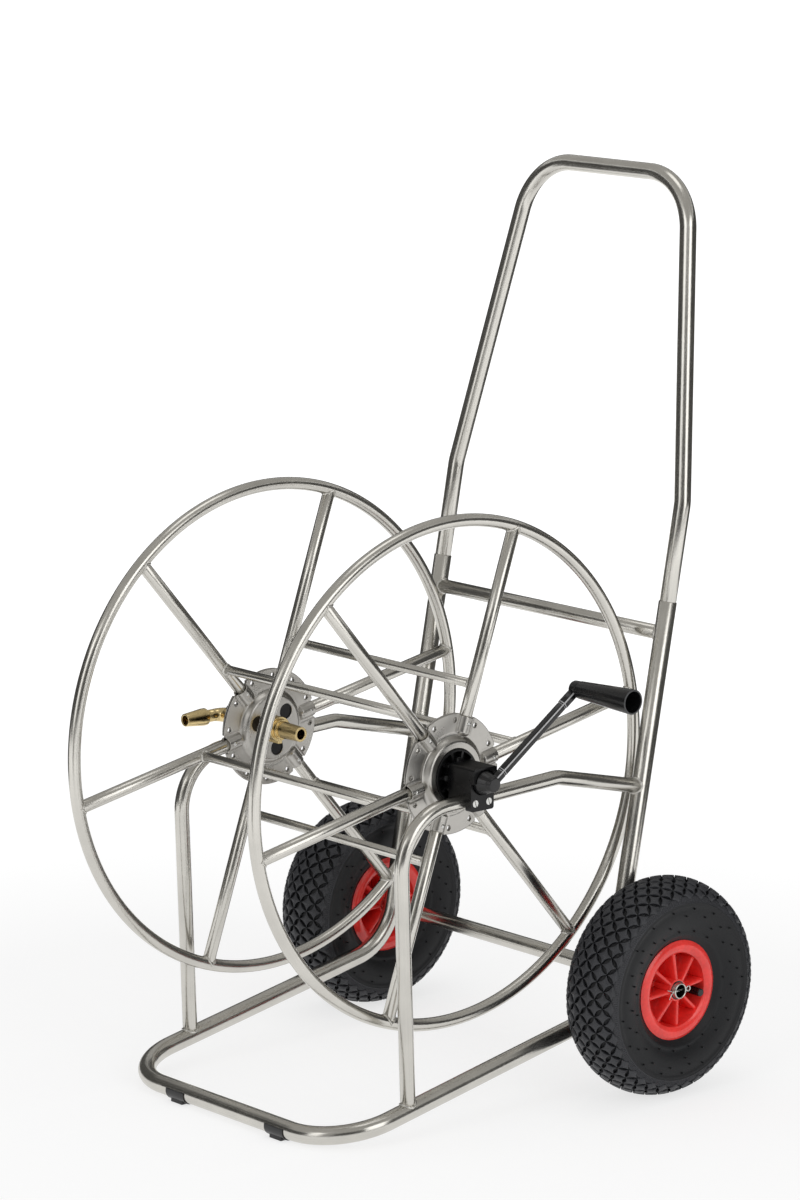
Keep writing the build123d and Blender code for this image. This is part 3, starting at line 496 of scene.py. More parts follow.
def hub_plate(node, x, way, opening, holes, rows=64, cols=576):
    """A hub plate as a polar grid of heights, with its round holes cut out and its sheet given a thickness.

    The outer edge is a circle, cut straight across at each socket's mouth. Points near a hole's edge are
    drawn onto its circle, and the faces that then lie wholly on or in it are left out.
    """
    theta = -way * circle(cols)[None, :]
    turn = (theta - spoke_angles[0] + np.pi / 6) % (np.pi / 3) - np.pi / 6
    cut = socket_mouth / np.cos(turn)
    edge = np.where(np.abs(cut * np.sin(turn)) < socket_cut, cut, hub_radius)
    r = opening + (edge - opening) * np.linspace(0, 1, rows)[:, None]
    y, z = r * np.cos(theta), r * np.sin(theta)
    inside = np.zeros(r.shape, bool)
    for centre_y, centre_z, radius in holes:
        away = np.hypot(y - centre_y, z - centre_z)
        near = away < radius + hole_draw
        pull = np.where(near, radius / np.maximum(away, 1e-9), 1)
        y, z = centre_y + (y - centre_y) * pull, centre_z + (z - centre_z) * pull
        inside |= near
    grid = np.stack([x + way * plate_height(y, z), reel_centre[1] + y, reel_centre[2] + z], axis=-1)
    piece = surface(f"{node}_pressed", grid, hub_steel, closed=False)
    gone = inside[:-1] & inside[1:] & np.roll(inside, -1, 1)[:-1] & np.roll(inside, -1, 1)[1:]
    mesh = bmesh.new()
    mesh.from_mesh(piece.data)
    mesh.faces.ensure_lookup_table()
    bmesh.ops.delete(mesh, geom=[mesh.faces[k] for k in np.flatnonzero(gone)], context="FACES")
    mesh.to_mesh(piece.data)
    mesh.free()
    sheet = piece.modifiers.new("sheet", "SOLIDIFY")
    sheet.thickness = hub_sheet
    sheet.offset = -1
    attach(piece, "reel")
    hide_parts(node)


rim_holes = []
for angle in spoke_angles:
    for turn in (-hole_turn, hole_turn):
        rim_holes.append((*hole_circle * outwards(angle + turn)[1:], hole_radius))
windows = []
for angle in np.radians(window_phase + 120 * np.arange(3)):
    windows.append((*window_circle * outwards(angle)[1:], window_radius))
plate_bores = {"left": 11.1 * MM, "right": 8.1 * MM}
for side, name in sides:
    x = reel_centre[0] + side * ring_x
    hub_plate(f"hub_plate_{name}_outer", x, side, outer_opening, rim_holes)
    hub_plate(f"hub_plate_{name}_inner", x, -side, plate_bores[name], rim_holes + windows, rows=82)

# Hub rivets
# A zinc-plated rivet through both plates and each spoke, with a low domed head on either side.
zinc_steel = steel_finish("zinc_steel", (0.66, 0.66, 0.64), 0.25, (220.0, 220.0, 220.0))


def combined(*lists):
    """Every combination of the values of some lists, each list's share as a stack of single values."""
    return (v.reshape(-1, 1, 1) for v in np.meshgrid(*lists, indexing="ij"))


def rivet_heads():
    """Domed heads on the sockets' crests: rings on a low sphere, from the pole to a foot in the plate."""
    side, angle, way = combined([-1, 1], spoke_angles, [-1, 1])
    t = circle(16)
    reach = np.array([0.0, 0.9, 1.7, 2.3, 2.6, 2.6, 0.0])[:, None] * MM
    height = np.array([1.25, 1.15, 0.85, 0.35, -0.2, -1.0, -1.0])[:, None] * MM
    x = side * ring_x + way * (dish_height + height)
    return reel_centre + about_x(x, rivet_circle + reach * np.cos(t), angle, reach * np.sin(t))


rivets = surface("hub_rivets_domed", rivet_heads(), zinc_steel, closed=False)
rivet_mesh = bmesh.new()
rivet_mesh.from_mesh(rivets.data)
bmesh.ops.remove_doubles(rivet_mesh, verts=rivet_mesh.verts, dist=1e-7)
bmesh.ops.recalc_face_normals(rivet_mesh, faces=rivet_mesh.faces)
rivet_mesh.to_mesh(rivets.data)
rivet_mesh.free()
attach(rivets, "reel")
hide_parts("hub_rivets")

# Hub cores and bearing brackets
# Moulded black plastic: a finned core between the plates of each hub, and a bearing block that saddles each
# support arm and is held by two slotted screws. Their edges have the small radius of the mould.
def moulded(name, colour, roughness, scale, depth, shine=0.5):
    """Moulded plastic or rubber with an even grain."""
    noise = (3.0, (34.0, 2.0), 0.6)
    grain = (scale, scale, scale)
    mat = finish(name, colour, roughness, grain, "Object", *noise, (0.82, 1.18), (0.85, 1.15), (0.2, depth))
    mat.node_tree.nodes["Principled BSDF"].inputs["Specular IOR Level"].default_value = shine
    return mat


black_plastic = moulded("black_plastic", (0.0070, 0.0070, 0.0077), 0.25, 1100.0, 0.00004)
body_of = {node: body for body, nodes in frame["record"]["behaviour"]["bodies"].items() for node in nodes}


def softened(node, material, radius):
    """A copy of a node's solid with its flat faces joined and its edges rounded to a radius."""
    mesh = frame["nodes"][node].data.copy()
    mesh.materials.clear()
    mesh.materials.append(material)
    shape = bmesh.new()
    shape.from_mesh(mesh)
    bmesh.ops.remove_doubles(shape, verts=shape.verts, dist=2e-6)
    bmesh.ops.dissolve_limit(shape, angle_limit=math.radians(0.4), verts=shape.verts, edges=shape.edges)
    for face in shape.faces:
        face.smooth = True
        face.material_index = 0
    shape.to_mesh(mesh)
    shape.free()
    mesh.set_sharp_from_angle(angle=math.radians(40))
    piece = added(f"{node}_finished", mesh)
    if radius:
        edges = piece.modifiers.new("edges", "BEVEL")
        edges.width = radius
        edges.segments = 3
        edges.limit_method = "ANGLE"
        edges.angle_limit = math.radians(35)
        edges.harden_normals = True
    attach(piece, body_of[node])
    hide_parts(node)


bearing_plastic = moulded("bearing_plastic", (0.0045, 0.0045, 0.0050), 0.3, 1100.0, 0.00004, shine=0.3)
for side, name in sides:
    softened(f"hub_core_{name}", bearing_plastic, 0.5 * MM)
    softened(f"bracket_{name}", bearing_plastic, 0.9 * MM)
    softened(f"bracket_screws_{name}", zinc_steel, 0.3 * MM)


def lobed_boss(lobes=8, columns=192):
    """A low boss with rounded lobes: its radius swings with the hyperbolic tangent of a cosine."""
    t = circle(columns)[None, :]
    height = np.array([9.0, 9.0, 13.9, 14.5, 14.5])[:, None] * MM
    share = np.array([0.0, 1.0, 1.0, 0.96, 0.0])[:, None]
    r = share * (18.5 + 3.2 * np.tanh(2 * np.cos(lobes * t)) / math.tanh(2)) * MM
    return about_x(height, r, t)


for side, name in sides:
    boss = lobed_boss() * np.array([side, 1, 1]) + reel_centre + np.array([side * ring_x, 0, 0])
    lobes = surface(f"hub_core_{name}_lobes", boss, bearing_plastic)
    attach(lobes, "reel")

# Crank
# A black plastic arm moulded round the end of a steel shaft: a conical boss, an arm with a ridge along each
# side and two narrow necks, and a knuckle that holds the grip's pin.
crank_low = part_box("crank_arm")[0]
grip_centre = joints["grip_spin"]
crank_reach = np.linalg.norm((grip_centre - reel_centre)[1:])
crank_along = unit((grip_centre - reel_centre) * np.array([0, 1, 1]))
crank_across = np.cross(np.array([1.0, 0, 0]), crank_along)
cone_length = 25.5 * MM
arm_x = crank_low[0] + 18.5 * MM
knuckle_half = 6 * MM
knuckle_radius = 9.5 * MM


def ridged_arm():
    """The arm as six-sided rings along its length, each corner rounded by three points.

    The arm is 11 mm thick and 13 mm wide over its ridges. A ring's scale drops by an eighth in the two necks
    and is a tenth larger past the outer one.
    """
    neck = np.array([-1.5, -0.9, -0.7, 0.7, 0.9, 1.5])
    reach = crank_reach / MM
    stations = np.concatenate([[2], 20 + neck, [40, 80, 120], reach - 28 + neck, [reach - 4]]) * MM
    waist = [1, 0.97, 0.88, 0.88, 0.97]
    scale = np.array([1, *waist, 1, 1, 1, 1, *waist, 1.1, 1.1])
    corner_x = np.array([5.6, 0, -5.6, -5.6, 0, 5.6]) * MM
    corner_w = np.array([3.3, 6.6, 3.3, -3.3, -6.6, -3.3]) * MM
    here = np.stack([corner_x, corner_w], -1)
    before, after = np.roll(here, 1, axis=0), np.roll(here, -1, axis=0)
    into, out = here + 0.14 * (before - here), here + 0.14 * (after - here)
    ring = np.stack([into, 0.25 * into + 0.5 * here + 0.25 * out, out], axis=1).reshape(-1, 2)
    stations = np.concatenate([stations[:1], stations, stations[-1:]])
    scale = np.concatenate([[1e-4], scale, [1e-4]])
    taper = (1 - 0.06 * stations / crank_reach) * scale
    start = np.array([arm_x, reel_centre[1], reel_centre[2]])
    outline = ring[None, :, :1] * np.array([1.0, 0, 0]) + ring[None, :, 1:] * crank_across
    return start + stations[:, None, None] * crank_along + taper[:, None, None] * outline


def turned(name, outline, centre, material, body, segments=72, axis=(1, 0, 0)):
    """An outline of (distance along, radius) pairs, turned once round an axis through a centre."""
    axis = np.array(axis, float)
    first = unit(np.cross(axis, np.eye(3)[np.argmin(np.abs(axis))]))
    second = np.cross(axis, first)
    outline = np.array(outline, float)
    t = circle(segments)[:, None]
    ring = np.cos(t) * first + np.sin(t) * second
    grid = centre + outline[:, None, :1] * axis + outline[:, None, 1:] * ring
    piece = surface(name, grid, material)
    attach(piece, body)
    return piece


def rounded_corners(points, radii):
    """A flat line through points, with each inner corner replaced by an arc tangent to its two runs."""
    line = np.column_stack([np.array(points, float), np.zeros(len(points))])
    return bent_path(line, radii, count=6)[0][:, :2]


# Painted highlight: the faces along two opposite edges of the arm and round both necks are painted pale grey, in
# place of the bright lines that the lamps make on those rounded edges.
rubbed_plastic = moulded("rubbed_plastic", (0.5, 0.5, 0.505), 0.3, 900.0, 0.00003)
crank_bar = surface("crank_arm_ridged", ridged_arm(), black_plastic)
crank_bar.data.materials.append(rubbed_plastic)
crank_row, crank_col = np.divmod(np.arange(len(crank_bar.data.polygons)), 18)
paint_faces(crank_bar, np.isin(crank_col, (0, 1, 9, 10)) | np.isin(crank_row, (2, 6, 11, 15)))
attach(crank_bar, "reel")
cone_start = crank_low[0]
cone_outline = rounded_corners(
    [(0, 1e-5), (0, 14.3 * MM), (9 * MM, 14.0 * MM), (cone_length - 6 * MM, 9.9 * MM),
     (cone_length, 8.2 * MM), (cone_length, 1e-5)], [0.6 * MM, 6 * MM, 4 * MM, 1.2 * MM])
cone = turned("crank_boss", cone_outline, np.array([cone_start, *reel_centre[1:]]), black_plastic, "reel")
knuckle_outline = rounded_corners(
    [(-knuckle_half, 1e-5), (-knuckle_half, knuckle_radius), (knuckle_half, knuckle_radius + 0.3 * MM),
     (knuckle_half, 1e-5)], [4 * MM, 0.5 * MM])
knuckle_centre = np.array([arm_x, *grip_centre[1:]])
knuckle = turned("crank_knuckle", knuckle_outline, knuckle_centre, black_plastic, "reel")
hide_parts("crank_arm")


def dress(node, material):
    """Give a CAD node its finish."""
    slots = frame["nodes"][node].data.materials
    slots.clear()
    slots.append(material)


dress("crank_shaft", zinc_steel)
dress("grip_pin", zinc_steel)

# Grip
# A hollow, moulded black plastic grip that turns on a pin. It widens towards its open, thin-walled end.
grip_low, grip_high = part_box("grip")
grip_length = grip_high[0] - grip_low[0]
grip_large = (grip_high[2] - grip_low[2]) / 2
grip_small = 10.2 * MM
grip_wall = 2.0 * MM
grip_taper = (grip_large - grip_small) / grip_length
grip_outline = rounded_corners(
    [(0, 4.1 * MM), (0, grip_small), (60 * MM, grip_small + 60 * MM * grip_taper + 0.3 * MM),
     (grip_length, grip_large + 0.05 * MM), (grip_length, grip_large - grip_wall),
     (13 * MM, grip_small + 13 * MM * grip_taper - grip_wall), (13 * MM, 4.1 * MM), (0, 4.1 * MM)],
    [1.2 * MM, 60 * MM, 1.0 * MM, 0.7 * MM, 2 * MM, 0.3 * MM])
grip_place = np.array([grip_low[0], *grip_centre[1:]])
grip = turned("grip_moulded", grip_outline, grip_place, black_plastic, "crank_grip", segments=96)
# Painted highlight: the faces of the grip's open end are painted a lighter grey, in place of the highlight that
# the lamps make on its rounded rim.
grip.data.materials.append(moulded("worn_plastic", (0.06, 0.06, 0.063), 0.3, 900.0, 0.00003))
paint_faces(grip, face_centres(grip)[:, 0] > grip_high[0] - 0.6 * MM)
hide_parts("grip")

# Feet
# Black plastic clips that are snapped up round the front bar from below, with a thicker sole in the middle.
for side, name in sides:
    softened(f"foot_clip_{name}", black_plastic, 0.5 * MM)

# Water joint
# Machined brass: an elbow with a hose tail turns in a hollow spindle that carries the reel's left end, and a
# second hose tail is screwed on the spindle's inner end. All the turned edges are softened.
brass = steel_finish("brass", (0.78, 0.61, 0.31), 0.2, (22.0, 22.0, 22.0))
black_rubber = moulded("black_rubber", (0.010, 0.010, 0.010), 0.55, 900.0, 0.00006)
for node in ("outlet_tail", "swivel_spindle"):
    softened(node, brass, 0.5 * MM)
elbow_low, elbow_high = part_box("inlet_elbow")
tail_large, tail_small = 10.5 * MM, 7.7 * MM
turn_x = elbow_low[0] + tail_large
tail_start = reel_centre[1] - 25.5 * MM
tail_length = tail_start - elbow_low[1]


def elbow_body():
    """Stem, neck and bend of the elbow as one sweep: its radius steps up at the neck and falls after it."""
    stem, neck = np.array([elbow_high[0], *reel_centre[1:]]), np.array([turn_x + 32.7 * MM, *reel_centre[1:]])
    corner, tail = np.array([turn_x, *reel_centre[1:]]), np.array([turn_x, tail_start, reel_centre[2]])
    points, fronts, normals = bent_path([stem, corner, tail], [13 * MM])
    keep = [0, 0, 0, 0] + list(range(1, len(points))) + [-1]
    points, fronts, normals = points[keep], fronts[keep], normals[keep]
    points[2:4] = neck
    bend = np.linspace(9.4, 7.4, len(points) - 5)
    radius = np.concatenate([[0, 7.3, 7.3, 9.4], bend, [0]]) * MM
    return rings(points, fronts, normals, radius, 48)


elbow = surface("inlet_elbow_bend", elbow_body(), brass)
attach(elbow, "inlet")
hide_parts("inlet_elbow")
tail_outline = rounded_corners(
    [(0, 1e-5), (0, tail_large), (5 * MM, tail_large), (tail_length, tail_small), (tail_length, 5.6 * MM),
     (12 * MM, 5.6 * MM), (12 * MM, 1e-5)], [0.5 * MM, 3 * MM, 0.5 * MM, 0.5 * MM, 0.5 * MM])
tail_place = np.array([turn_x, tail_start, reel_centre[2]])
tail = turned("inlet_elbow_tail", tail_outline, tail_place, brass, "inlet", axis=(0, -1, 0))
dress("swivel_seals", black_rubber)

# Tyres
# Moulded black rubber with a tread of diamond blocks whose hollow sides leave lens-shaped grooves, fine ribs
# on the shoulders, a moulding line round each sidewall, and the small nubs that the mould's air vents leave.
# The tread rubber is the sidewall's rubber painted about three times lighter: partly a duller, dustier tread, and
# partly painted light on the blocks, the shoulder ribs and the shoulder band.
tread_rubber = moulded("tread_rubber", (0.030, 0.031, 0.036), 0.5, 1400.0, 0.00008)
tyre_rubber = moulded("tyre_rubber", (0.0105, 0.0110, 0.0125), 0.46, 1400.0, 0.00008, shine=0.28)


def arc(a, b, c, count):
    """Points along the circle through three points, from the first to the last by way of the second."""
    a, b, c = (np.array(p, float) for p in (a, b, c))
    m = 2 * np.array([b - a, c - a])
    centre = np.linalg.solve(m, np.array([b @ b - a @ a, c @ c - a @ a]))
    start, middle, stop = (math.atan2(*(p - centre)[::-1]) for p in (a, b, c))
    sweep = (stop - start) % (2 * np.pi)
    if (middle - start) % (2 * np.pi) > sweep:
        sweep -= 2 * np.pi
    t = start + np.linspace(0, sweep, count)
    return centre + np.linalg.norm(a - centre) * np.stack([np.cos(t), np.sin(t)], axis=-1)


tyre_low, tyre_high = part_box("tyre_right")
tyre_radius = (tyre_high[2] - tyre_low[2]) / 2
tyre_half_width = (tyre_high[0] - tyre_low[0]) / 2 - 0.8 * MM
shoulder = (34 * MM, tyre_radius - 11 * MM)
bead = (28.4 * MM, 60 * MM)
bead_foot = (28.4 * MM, 53 * MM)
belly = (tyre_half_width, 91.4 * MM)
crown_line = arc((-shoulder[0], shoulder[1]), (0, tyre_radius), shoulder, 41)[20:]
side_line = arc(shoulder, belly, bead, 41)
half_line = np.concatenate([crown_line, side_line[1:]])
half_reach = np.concatenate([[0.0], np.cumsum(np.linalg.norm(np.diff(half_line, axis=0), axis=1))])
shoulder_reach = half_reach[20]
groove_depth = 3.8 * MM
block_count = 38
block_pitch = 2 * np.pi * tyre_radius / block_count
row_pitch = 10.2 * MM
line_radius, line_width, line_height = 105.5 * MM, 0.7 * MM, 0.8 * MM
rim_line_radius, rim_line_width, rim_line_height = 67 * MM, 1.0 * MM, 0.7 * MM
hollow_depth = 1.6 * MM
rib_count = 266
rib_start, rib_stop = shoulder_reach + 2 * MM, shoulder_reach + 13.5 * MM


def tyre_point(reach, height, theta):
    """Point on the tyre: across from the crown by a reach, out from its outline by a height, round by theta.

    The outline gives the width and the radius at that reach, and its own slope gives the way out. A negative
    reach is the mirror image.
    """
    width = np.interp(np.abs(reach), half_reach, half_line[:, 0])
    radius = np.interp(np.abs(reach), half_reach, half_line[:, 1])
    slope = np.gradient(half_line, half_reach, axis=0)
    out_w = -np.interp(np.abs(reach), half_reach, slope[:, 1])
    out_r = np.interp(np.abs(reach), half_reach, slope[:, 0])
    size = np.hypot(out_w, out_r)
    x = np.sign(reach) * (width + height * out_w / size)
    return about_x(x, radius + height * out_r / size, theta)


def groove_sink(reach):
    """How far the carcass lies below the tread: the groove's depth, fading out past the shoulder."""
    return groove_depth * (1 - smooth_step(shoulder_reach + 1 * MM, shoulder_reach + 8 * MM, reach))


def carcass(turns=608):
    """The tyre under its blocks: sunk by the groove's depth under the tread, full again past the shoulders.

    A narrow ridge runs round at the moulding line and another near the rim, each a bell curve of the radius,
    and the sidewall between them is a little hollowed.
    """
    side_reach = half_reach[-1]
    reach = np.concatenate([
        np.linspace(0, shoulder_reach, 9), np.linspace(shoulder_reach, shoulder_reach + 20 * MM, 26)[1:],
        np.linspace(shoulder_reach + 20 * MM, side_reach, 20)[1:]])
    theta = circle(turns)[None, :]
    radius = np.interp(reach, half_reach, half_line[:, 1])[:, None]
    reach = reach[:, None]
    line = line_height * np.exp(-(((radius - line_radius) / line_width) ** 2))
    line = line + rim_line_height * np.exp(-(((radius - rim_line_radius) / rim_line_width) ** 2))
    hollow = hollow_depth * smooth_step(104 * MM, 98 * MM, radius) * smooth_step(66 * MM, 72 * MM, radius)
    right = tyre_point(reach, line - groove_sink(reach) - hollow, theta)
    right = np.concatenate([right, about_x(*bead_foot, theta)])
    left = right[:0:-1] * np.array([-1, 1, 1])
    return np.concatenate([left, right])


def tread_blocks(per_side=5):
    """Every block of the tread, each a stack of rings from the middle of its top to the middle of its foot.

    A ring is a diamond whose four sides bend inwards by a sine arch. Blocks of every other row are moved
    round by half a pitch, and the tread stands a little higher towards the sidewall.
    """
    row, turn = combined(np.arange(-4, 5), np.arange(block_count))
    u = np.arange(per_side) / per_side
    arch = 0.16 * np.sin(np.pi * u)
    ahead, beside = 1 - u - arch, u - arch
    across = np.concatenate([ahead, -beside, -ahead, beside])
    round_ = np.concatenate([beside, ahead, -beside, -ahead])
    spread = np.array([0.0, 0.88, 0.97, 1.04, 0.0])[:, None]
    drop = np.array([0.0, 0.0, 0.5, 5.0, 5.0])[:, None] * MM
    across = spread * across * (row_pitch - 0.2 * MM)
    round_ = spread * round_ * (block_pitch / 2 - 0.2 * MM)
    reach = np.clip(row * row_pitch + across, -shoulder_reach - 10 * MM, shoulder_reach + 10 * MM)
    theta = ((turn + 0.5 * (row % 2)) * block_pitch + round_) / tyre_radius
    rise = 1.3 * MM * smooth_step(shoulder_reach - 1 * MM, shoulder_reach + 10 * MM, np.abs(reach))
    return tyre_point(np.where(reach == 0, 1e-9, reach), rise - drop, theta)


def shoulder_ribs():
    """Fine radial ribs on both shoulders: each is a row of low triangles, closed to a point at both ends."""
    side, turn = combined([-1, 1], circle(rib_count))
    run = np.array([0.0, 0.0, 0.1, 0.3, 0.5, 0.7, 0.9, 1.0, 1.0])[:, None]
    size = np.array([0.0, 0.6, 1.0, 1.0, 1.0, 1.0, 1.0, 0.6, 0.0])[:, None]
    reach = rib_start + run * (rib_stop - rib_start)
    across = size * np.array([-1.0, 0.0, 1.0]) * MM
    height = size * np.array([-0.5, 0.75, -0.5]) * MM - groove_sink(reach)
    radius = np.interp(reach, half_reach, half_line[:, 1])
    return tyre_point(side * reach, height, turn + side * across / radius)


def vent_nubs():
    """Short rubber pips on both sidewalls: small cones on four circles, a golden angle apart."""
    golden_angle = 2.399963
    k = np.arange(60)[:, None, None]
    reach = np.array([58, 66, 75, 86])[k % 4] * MM
    theta = k * golden_angle
    t = circle(7)
    width = np.array([0.0, 0.7, 1.0, 1.0, 0.0])[:, None] * MM
    height = np.array([1.0, 0.8, 0.2, -3.0, -3.0])[:, None] * MM
    radius = np.interp(reach, half_reach, half_line[:, 1])
    right = tyre_point(reach + width * np.cos(t), height, theta + width * np.sin(t) / radius)
    left = tyre_point(-reach - width * np.cos(t), height, 1.3 + theta - width * np.sin(t) / radius)
    return np.concatenate([right, left])


for side, name in sides:
    wheel_centre = joints[f"wheel_{name}_spin"]
    body = f"wheel_{name}"
    tyre = surface(f"tyre_{name}_carcass", carcass() + wheel_centre, tyre_rubber, lengthwise=True)
    # Painted light: the carcass's faces of the shoulder band, between the shoulder and the moulding line, take the
    # lighter tread rubber in place of their shade.
    tyre.data.materials.append(tread_rubber)
    aside, round_y, round_z = (face_centres(tyre) - wheel_centre).T
    past_line = np.hypot(round_y, round_z) > line_radius + 0.5 * MM
    paint_faces(tyre, past_line & (np.abs(aside) > shoulder[0] + 1 * MM))
    blocks = surface(f"tyre_{name}_blocks", tread_blocks() + wheel_centre, tread_rubber)
    ribs = surface(f"tyre_{name}_ribs", shoulder_ribs() + wheel_centre, tread_rubber)
    nubs = surface(f"tyre_{name}_nubs", vent_nubs() + wheel_centre, tyre_rubber)
    for piece in (tyre, blocks, ribs, nubs):
        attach(piece, body)
    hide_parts(f"tyre_{name}")

# Wheel rims
# One-piece red plastic rims, injection moulded and glossy: a broad rounded lip on each side, a barrel, a web
# in the middle, and eight ribs on both faces between the hub and the barrel.
red_plastic = moulded("red_plastic", (0.95, 0.050, 0.042), 0.2, 260.0, 0.00002, shine=0.6)
rim_lip_radius, rim_opening = 59.5 * MM, 44.25 * MM
rim_half_width = 31.65 * MM
rim_back = 28.55 * MM
rim_hub_radius, rim_hub_half = 13.2 * MM, 29.6 * MM
rim_bore = 11.2 * MM
web_half = 2.5 * MM
rib_phase = math.radians(4.5)


def rim_section():
    """The rim's closed outline: bore, hub, web and barrel with filleted corners, and the lip as one arc."""
    face = rounded_corners(
        [(rim_hub_half, rim_bore), (rim_hub_half, rim_hub_radius), (web_half, rim_hub_radius),
         (web_half, rim_opening), (28.6 * MM, rim_opening), (29.9 * MM, 45.9 * MM)],
        [0.7 * MM, 2 * MM, 2 * MM, 0.8 * MM])
    lip = arc((29.9 * MM, 45.9 * MM), (rim_half_width, 51.9 * MM), (29.3 * MM, 58.7 * MM), 20)
    back = rounded_corners(
        [(29.3 * MM, 58.7 * MM), (29.0 * MM, rim_lip_radius), (rim_back, rim_lip_radius),
         (rim_back, 52.7 * MM), (19.05 * MM, 52.7 * MM), (15 * MM, 48.75 * MM), (0, 48.75 * MM)],
        [0.4 * MM, 0.2 * MM, 0.5 * MM, 1 * MM, 1 * MM])
    half = np.concatenate([face, lip[1:], back[1:]])
    return np.concatenate([half, half[-2::-1] * np.array([-1, 1]), half[:1]])


def rib_stack():
    """All sixteen ribs: each is a row of rounded sections from hub to barrel, closed to a point at both ends.

    A rib is a little thicker towards the barrel, its sides lean in towards its top, and its top slopes down
    from the hub's end to just inside the lip.
    """
    face, turn = combined([-1, 1], rib_phase + circle(8))
    r = np.array([12.4, 12.4, 14, 20, 28, 36, 42, 45.5, 45.5])[:, None] * MM
    size = np.array([0, 1, 1, 1, 1, 1, 1, 1, 0])[:, None]
    top = rim_hub_half - (r - 12.4 * MM) * 0.095
    thick = 1.7 * MM + 0.018 * r
    across = np.array([-1.35, -1.0, -0.82, -0.5, 0.5, 0.82, 1.0, 1.35]) * thick
    share = np.array([0.02, 0.9, 0.97, 1, 1, 0.97, 0.9, 0.02])
    height = top * share
    across, height = across * size, height * size + (1 - size) * top / 2
    grids = about_x(face * height, r, turn, across)
    grids[:8] = grids[:8, :, ::-1]
    return grids


for side, name in sides:
    wheel_centre = joints[f"wheel_{name}_spin"]
    body = f"wheel_{name}"
    node = f"wheel_rim_{name}"
    rim = turned(f"{node}_moulded", rim_section(), wheel_centre, red_plastic, body, segments=128)
    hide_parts(node)
    ribs = surface(f"{node}_ribs", rib_stack() + wheel_centre, red_plastic)
    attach(ribs, body)

# Wheel fixings
# Plain bushes in the hubs, spacer sleeves on the axle, split pins through its open ends, and a rubber valve
# that comes through each rim and points outwards.
for side, name in sides:
    softened(f"valve_{name}", black_plastic, 0.9 * MM)
    softened(f"split_pin_{name}", zinc_steel, 0.0)
    dress(f"wheel_bushes_{name}", black_plastic)
    dress(f"inner_tube_{name}", black_rubber)
dress("wheel_spacers", zinc_steel)

# Floor
# A white studio floor that keeps the cart's shadow and fades to plain white all round.
floor_edge = 40.0
floor_paint = bpy.data.materials.new("floor_paint")
floor_paint.use_nodes = True
floor_tree = floor_paint.node_tree
floor_tree.nodes.clear()
floor_matt = add_node(floor_tree, "BsdfDiffuse", {"Color": (0.8, 0.8, 0.8, 1)})
floor_shaded = add_node(floor_tree, "BsdfDiffuse", {"Color": (0.36, 0.36, 0.36, 1)})
floor_where = add_node(floor_tree, "TexCoord", {}).outputs["Object"]
floor_away = add_node(floor_tree, "VectorMath", {0: floor_where}, operation="LENGTH").outputs["Value"]
floor_range = {"From Min": 0.7, "From Max": 2.6, "To Min": 0.70, "To Max": 1.0}
floor_fade = add_node(floor_tree, "MapRange", {"Value": floor_away, **floor_range})
floor_glow = add_node(floor_tree, "Emission", {"Strength": floor_fade.outputs["Result"]})
floor_seen = add_node(floor_tree, "AddShader", {0: floor_shaded.outputs[0], 1: floor_glow.outputs[0]})


def seen_directly(tree, otherwise, seen):
    """One shader for rays from the camera and reflected and transmitted rays, and another for the rest."""
    rays = add_node(tree, "LightPath", {}).outputs
    first = add_node(tree, "Math", {0: rays["Is Camera Ray"], 1: rays["Is Glossy Ray"]}, operation="MAXIMUM")
    either = {0: first.outputs[0], 1: rays["Is Transmission Ray"]}
    share = add_node(tree, "Math", either, operation="MAXIMUM").outputs[0]
    return add_node(tree, "MixShader", {0: share, 1: otherwise.outputs[0], 2: seen.outputs[0]}).outputs[0]


add_node(floor_tree, "OutputMaterial", {"Surface": seen_directly(floor_tree, floor_matt, floor_seen)})
floor_x, floor_y = np.meshgrid([-floor_edge, floor_edge], [-floor_edge, floor_edge])
floor_grid = np.stack([floor_x, floor_y, 0 * floor_x], axis=-1)
floor = surface("floor", floor_grid, floor_paint, around=False, closed=False)

# Studio light
# A white surround, two large soft boxes beside the camera and one above. Dark screens round the set and a
# grey ceiling show only in reflections, and give the polished tubes their dark edges and lines.
from mathutils import Matrix, Vector

scene = bpy.context.scene
scene.view_settings.view_transform = "Standard"
world = bpy.data.worlds.new("studio")
scene.world = world
world.use_nodes = True
world_tree = world.node_tree
sky = world_tree.nodes["Background"]
sky.inputs["Color"].default_value = (1, 1, 1, 1)
sky.inputs["Strength"].default_value = 0.55
white = add_node(world_tree, "Background", {"Color": (1, 1, 1, 1), "Strength": 1.0})
world_output = world_tree.nodes["World Output"]
world_tree.links.new(seen_directly(world_tree, sky, white), world_output.inputs["Surface"])
azimuth = 48.27


def round_the_set(distance, degrees, height):
    """Points at a distance from the middle, turned by some degrees from the cart's front, at a height."""
    turn = np.radians(degrees)
    return np.stack(np.broadcast_arrays(distance * np.sin(turn), -distance * np.cos(turn), height), axis=-1)


def soft_box(name, place, size, glow):
    """A rectangular area lamp that faces the cart: its power is pi times its area times its glow."""
    lamp = bpy.data.lights.new(name, "AREA")
    lamp.shape = "RECTANGLE"
    lamp.size, lamp.size_y = size
    lamp.energy = math.pi * size[0] * size[1] * glow
    holder = added(name, lamp)
    holder.location = place
    holder.rotation_euler = Vector(np.array([0, 0, 0.5]) - place).to_track_quat("-Z", "Y").to_euler()


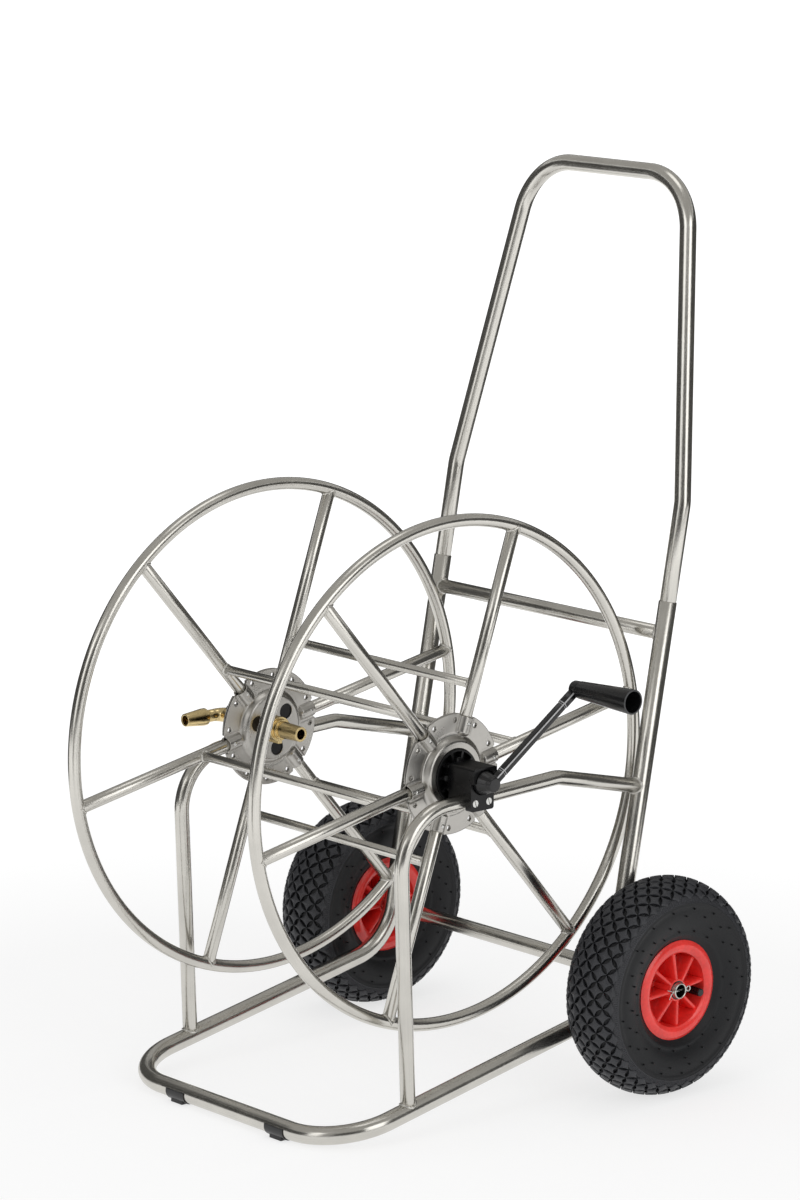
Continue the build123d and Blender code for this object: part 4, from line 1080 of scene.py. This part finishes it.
soft_box("left_box", round_the_set(4.2, azimuth - 40, 1.9), (2.4, 3.0), 1.35)
soft_box("right_box", round_the_set(4.2, azimuth + 42, 1.9), (2.4, 3.0), 1.75)
soft_box("top_box", np.array([0.0, 0.3, 4.0]), (1.6, 1.6), 1.1)


def screen(name, grid, brightness):
    """A plain screen of the studio that shows only in reflections."""
    paint = bpy.data.materials.new(name)
    paint.use_nodes = True
    paint.node_tree.nodes.clear()
    glow = add_node(paint.node_tree, "Emission", {"Color": (1.0, 0.985, 0.95, 1), "Strength": brightness})
    add_node(paint.node_tree, "OutputMaterial", {"Surface": glow.outputs[0]})
    card = surface(name, grid, paint, around=False, closed=False)
    card.visible_camera = False
    card.visible_diffuse = False
    card.visible_transmission = False
    card.visible_shadow = False


all_round = np.linspace(0, 360, 73)[None, :]
screen("dark_wall", round_the_set(5, all_round, np.array([[0.12], [3.0]])), 0.07)
for name, first, last, brightness in (("left_edge", -152, -96, 0.09), ("right_edge", 96, 152, 0.09),
                                      ("left_line", -36, -20, 0.3)):
    sector = azimuth + np.linspace(first, last, 9)[None, :]
    screen(f"{name}_screen", round_the_set(1.6, sector, np.array([[0.0], [1.3]])), brightness)
screen("grey_ceiling", round_the_set(np.array([[0.0], [7.0]]), all_round, 4.4), 0.42)

# Camera
# A long lens to the right of the front, a little above the cart.
camera = bpy.data.cameras.new("camera")
camera.lens = 134.35
camera.sensor_width = 36.0
camera.clip_end = 100.0
view = added("camera", camera)
target = np.array([middle_x, 9.86 * MM, 573.73 * MM])
distance = 5217.82 * MM
elevation, roll = math.radians(11.18), math.radians(-0.29)
back = round_the_set(math.cos(elevation), azimuth, math.sin(elevation))
level = round_the_set(1.0, azimuth + 90, 0.0)
upward = np.cross(back, level)
right = math.cos(roll) * level - math.sin(roll) * upward
upward = math.sin(roll) * level + math.cos(roll) * upward
place = target + back * distance
view.matrix_world = Matrix([[right[k], upward[k], back[k], place[k]] for k in range(3)] + [[0, 0, 0, 1]])
scene.camera = view

import json
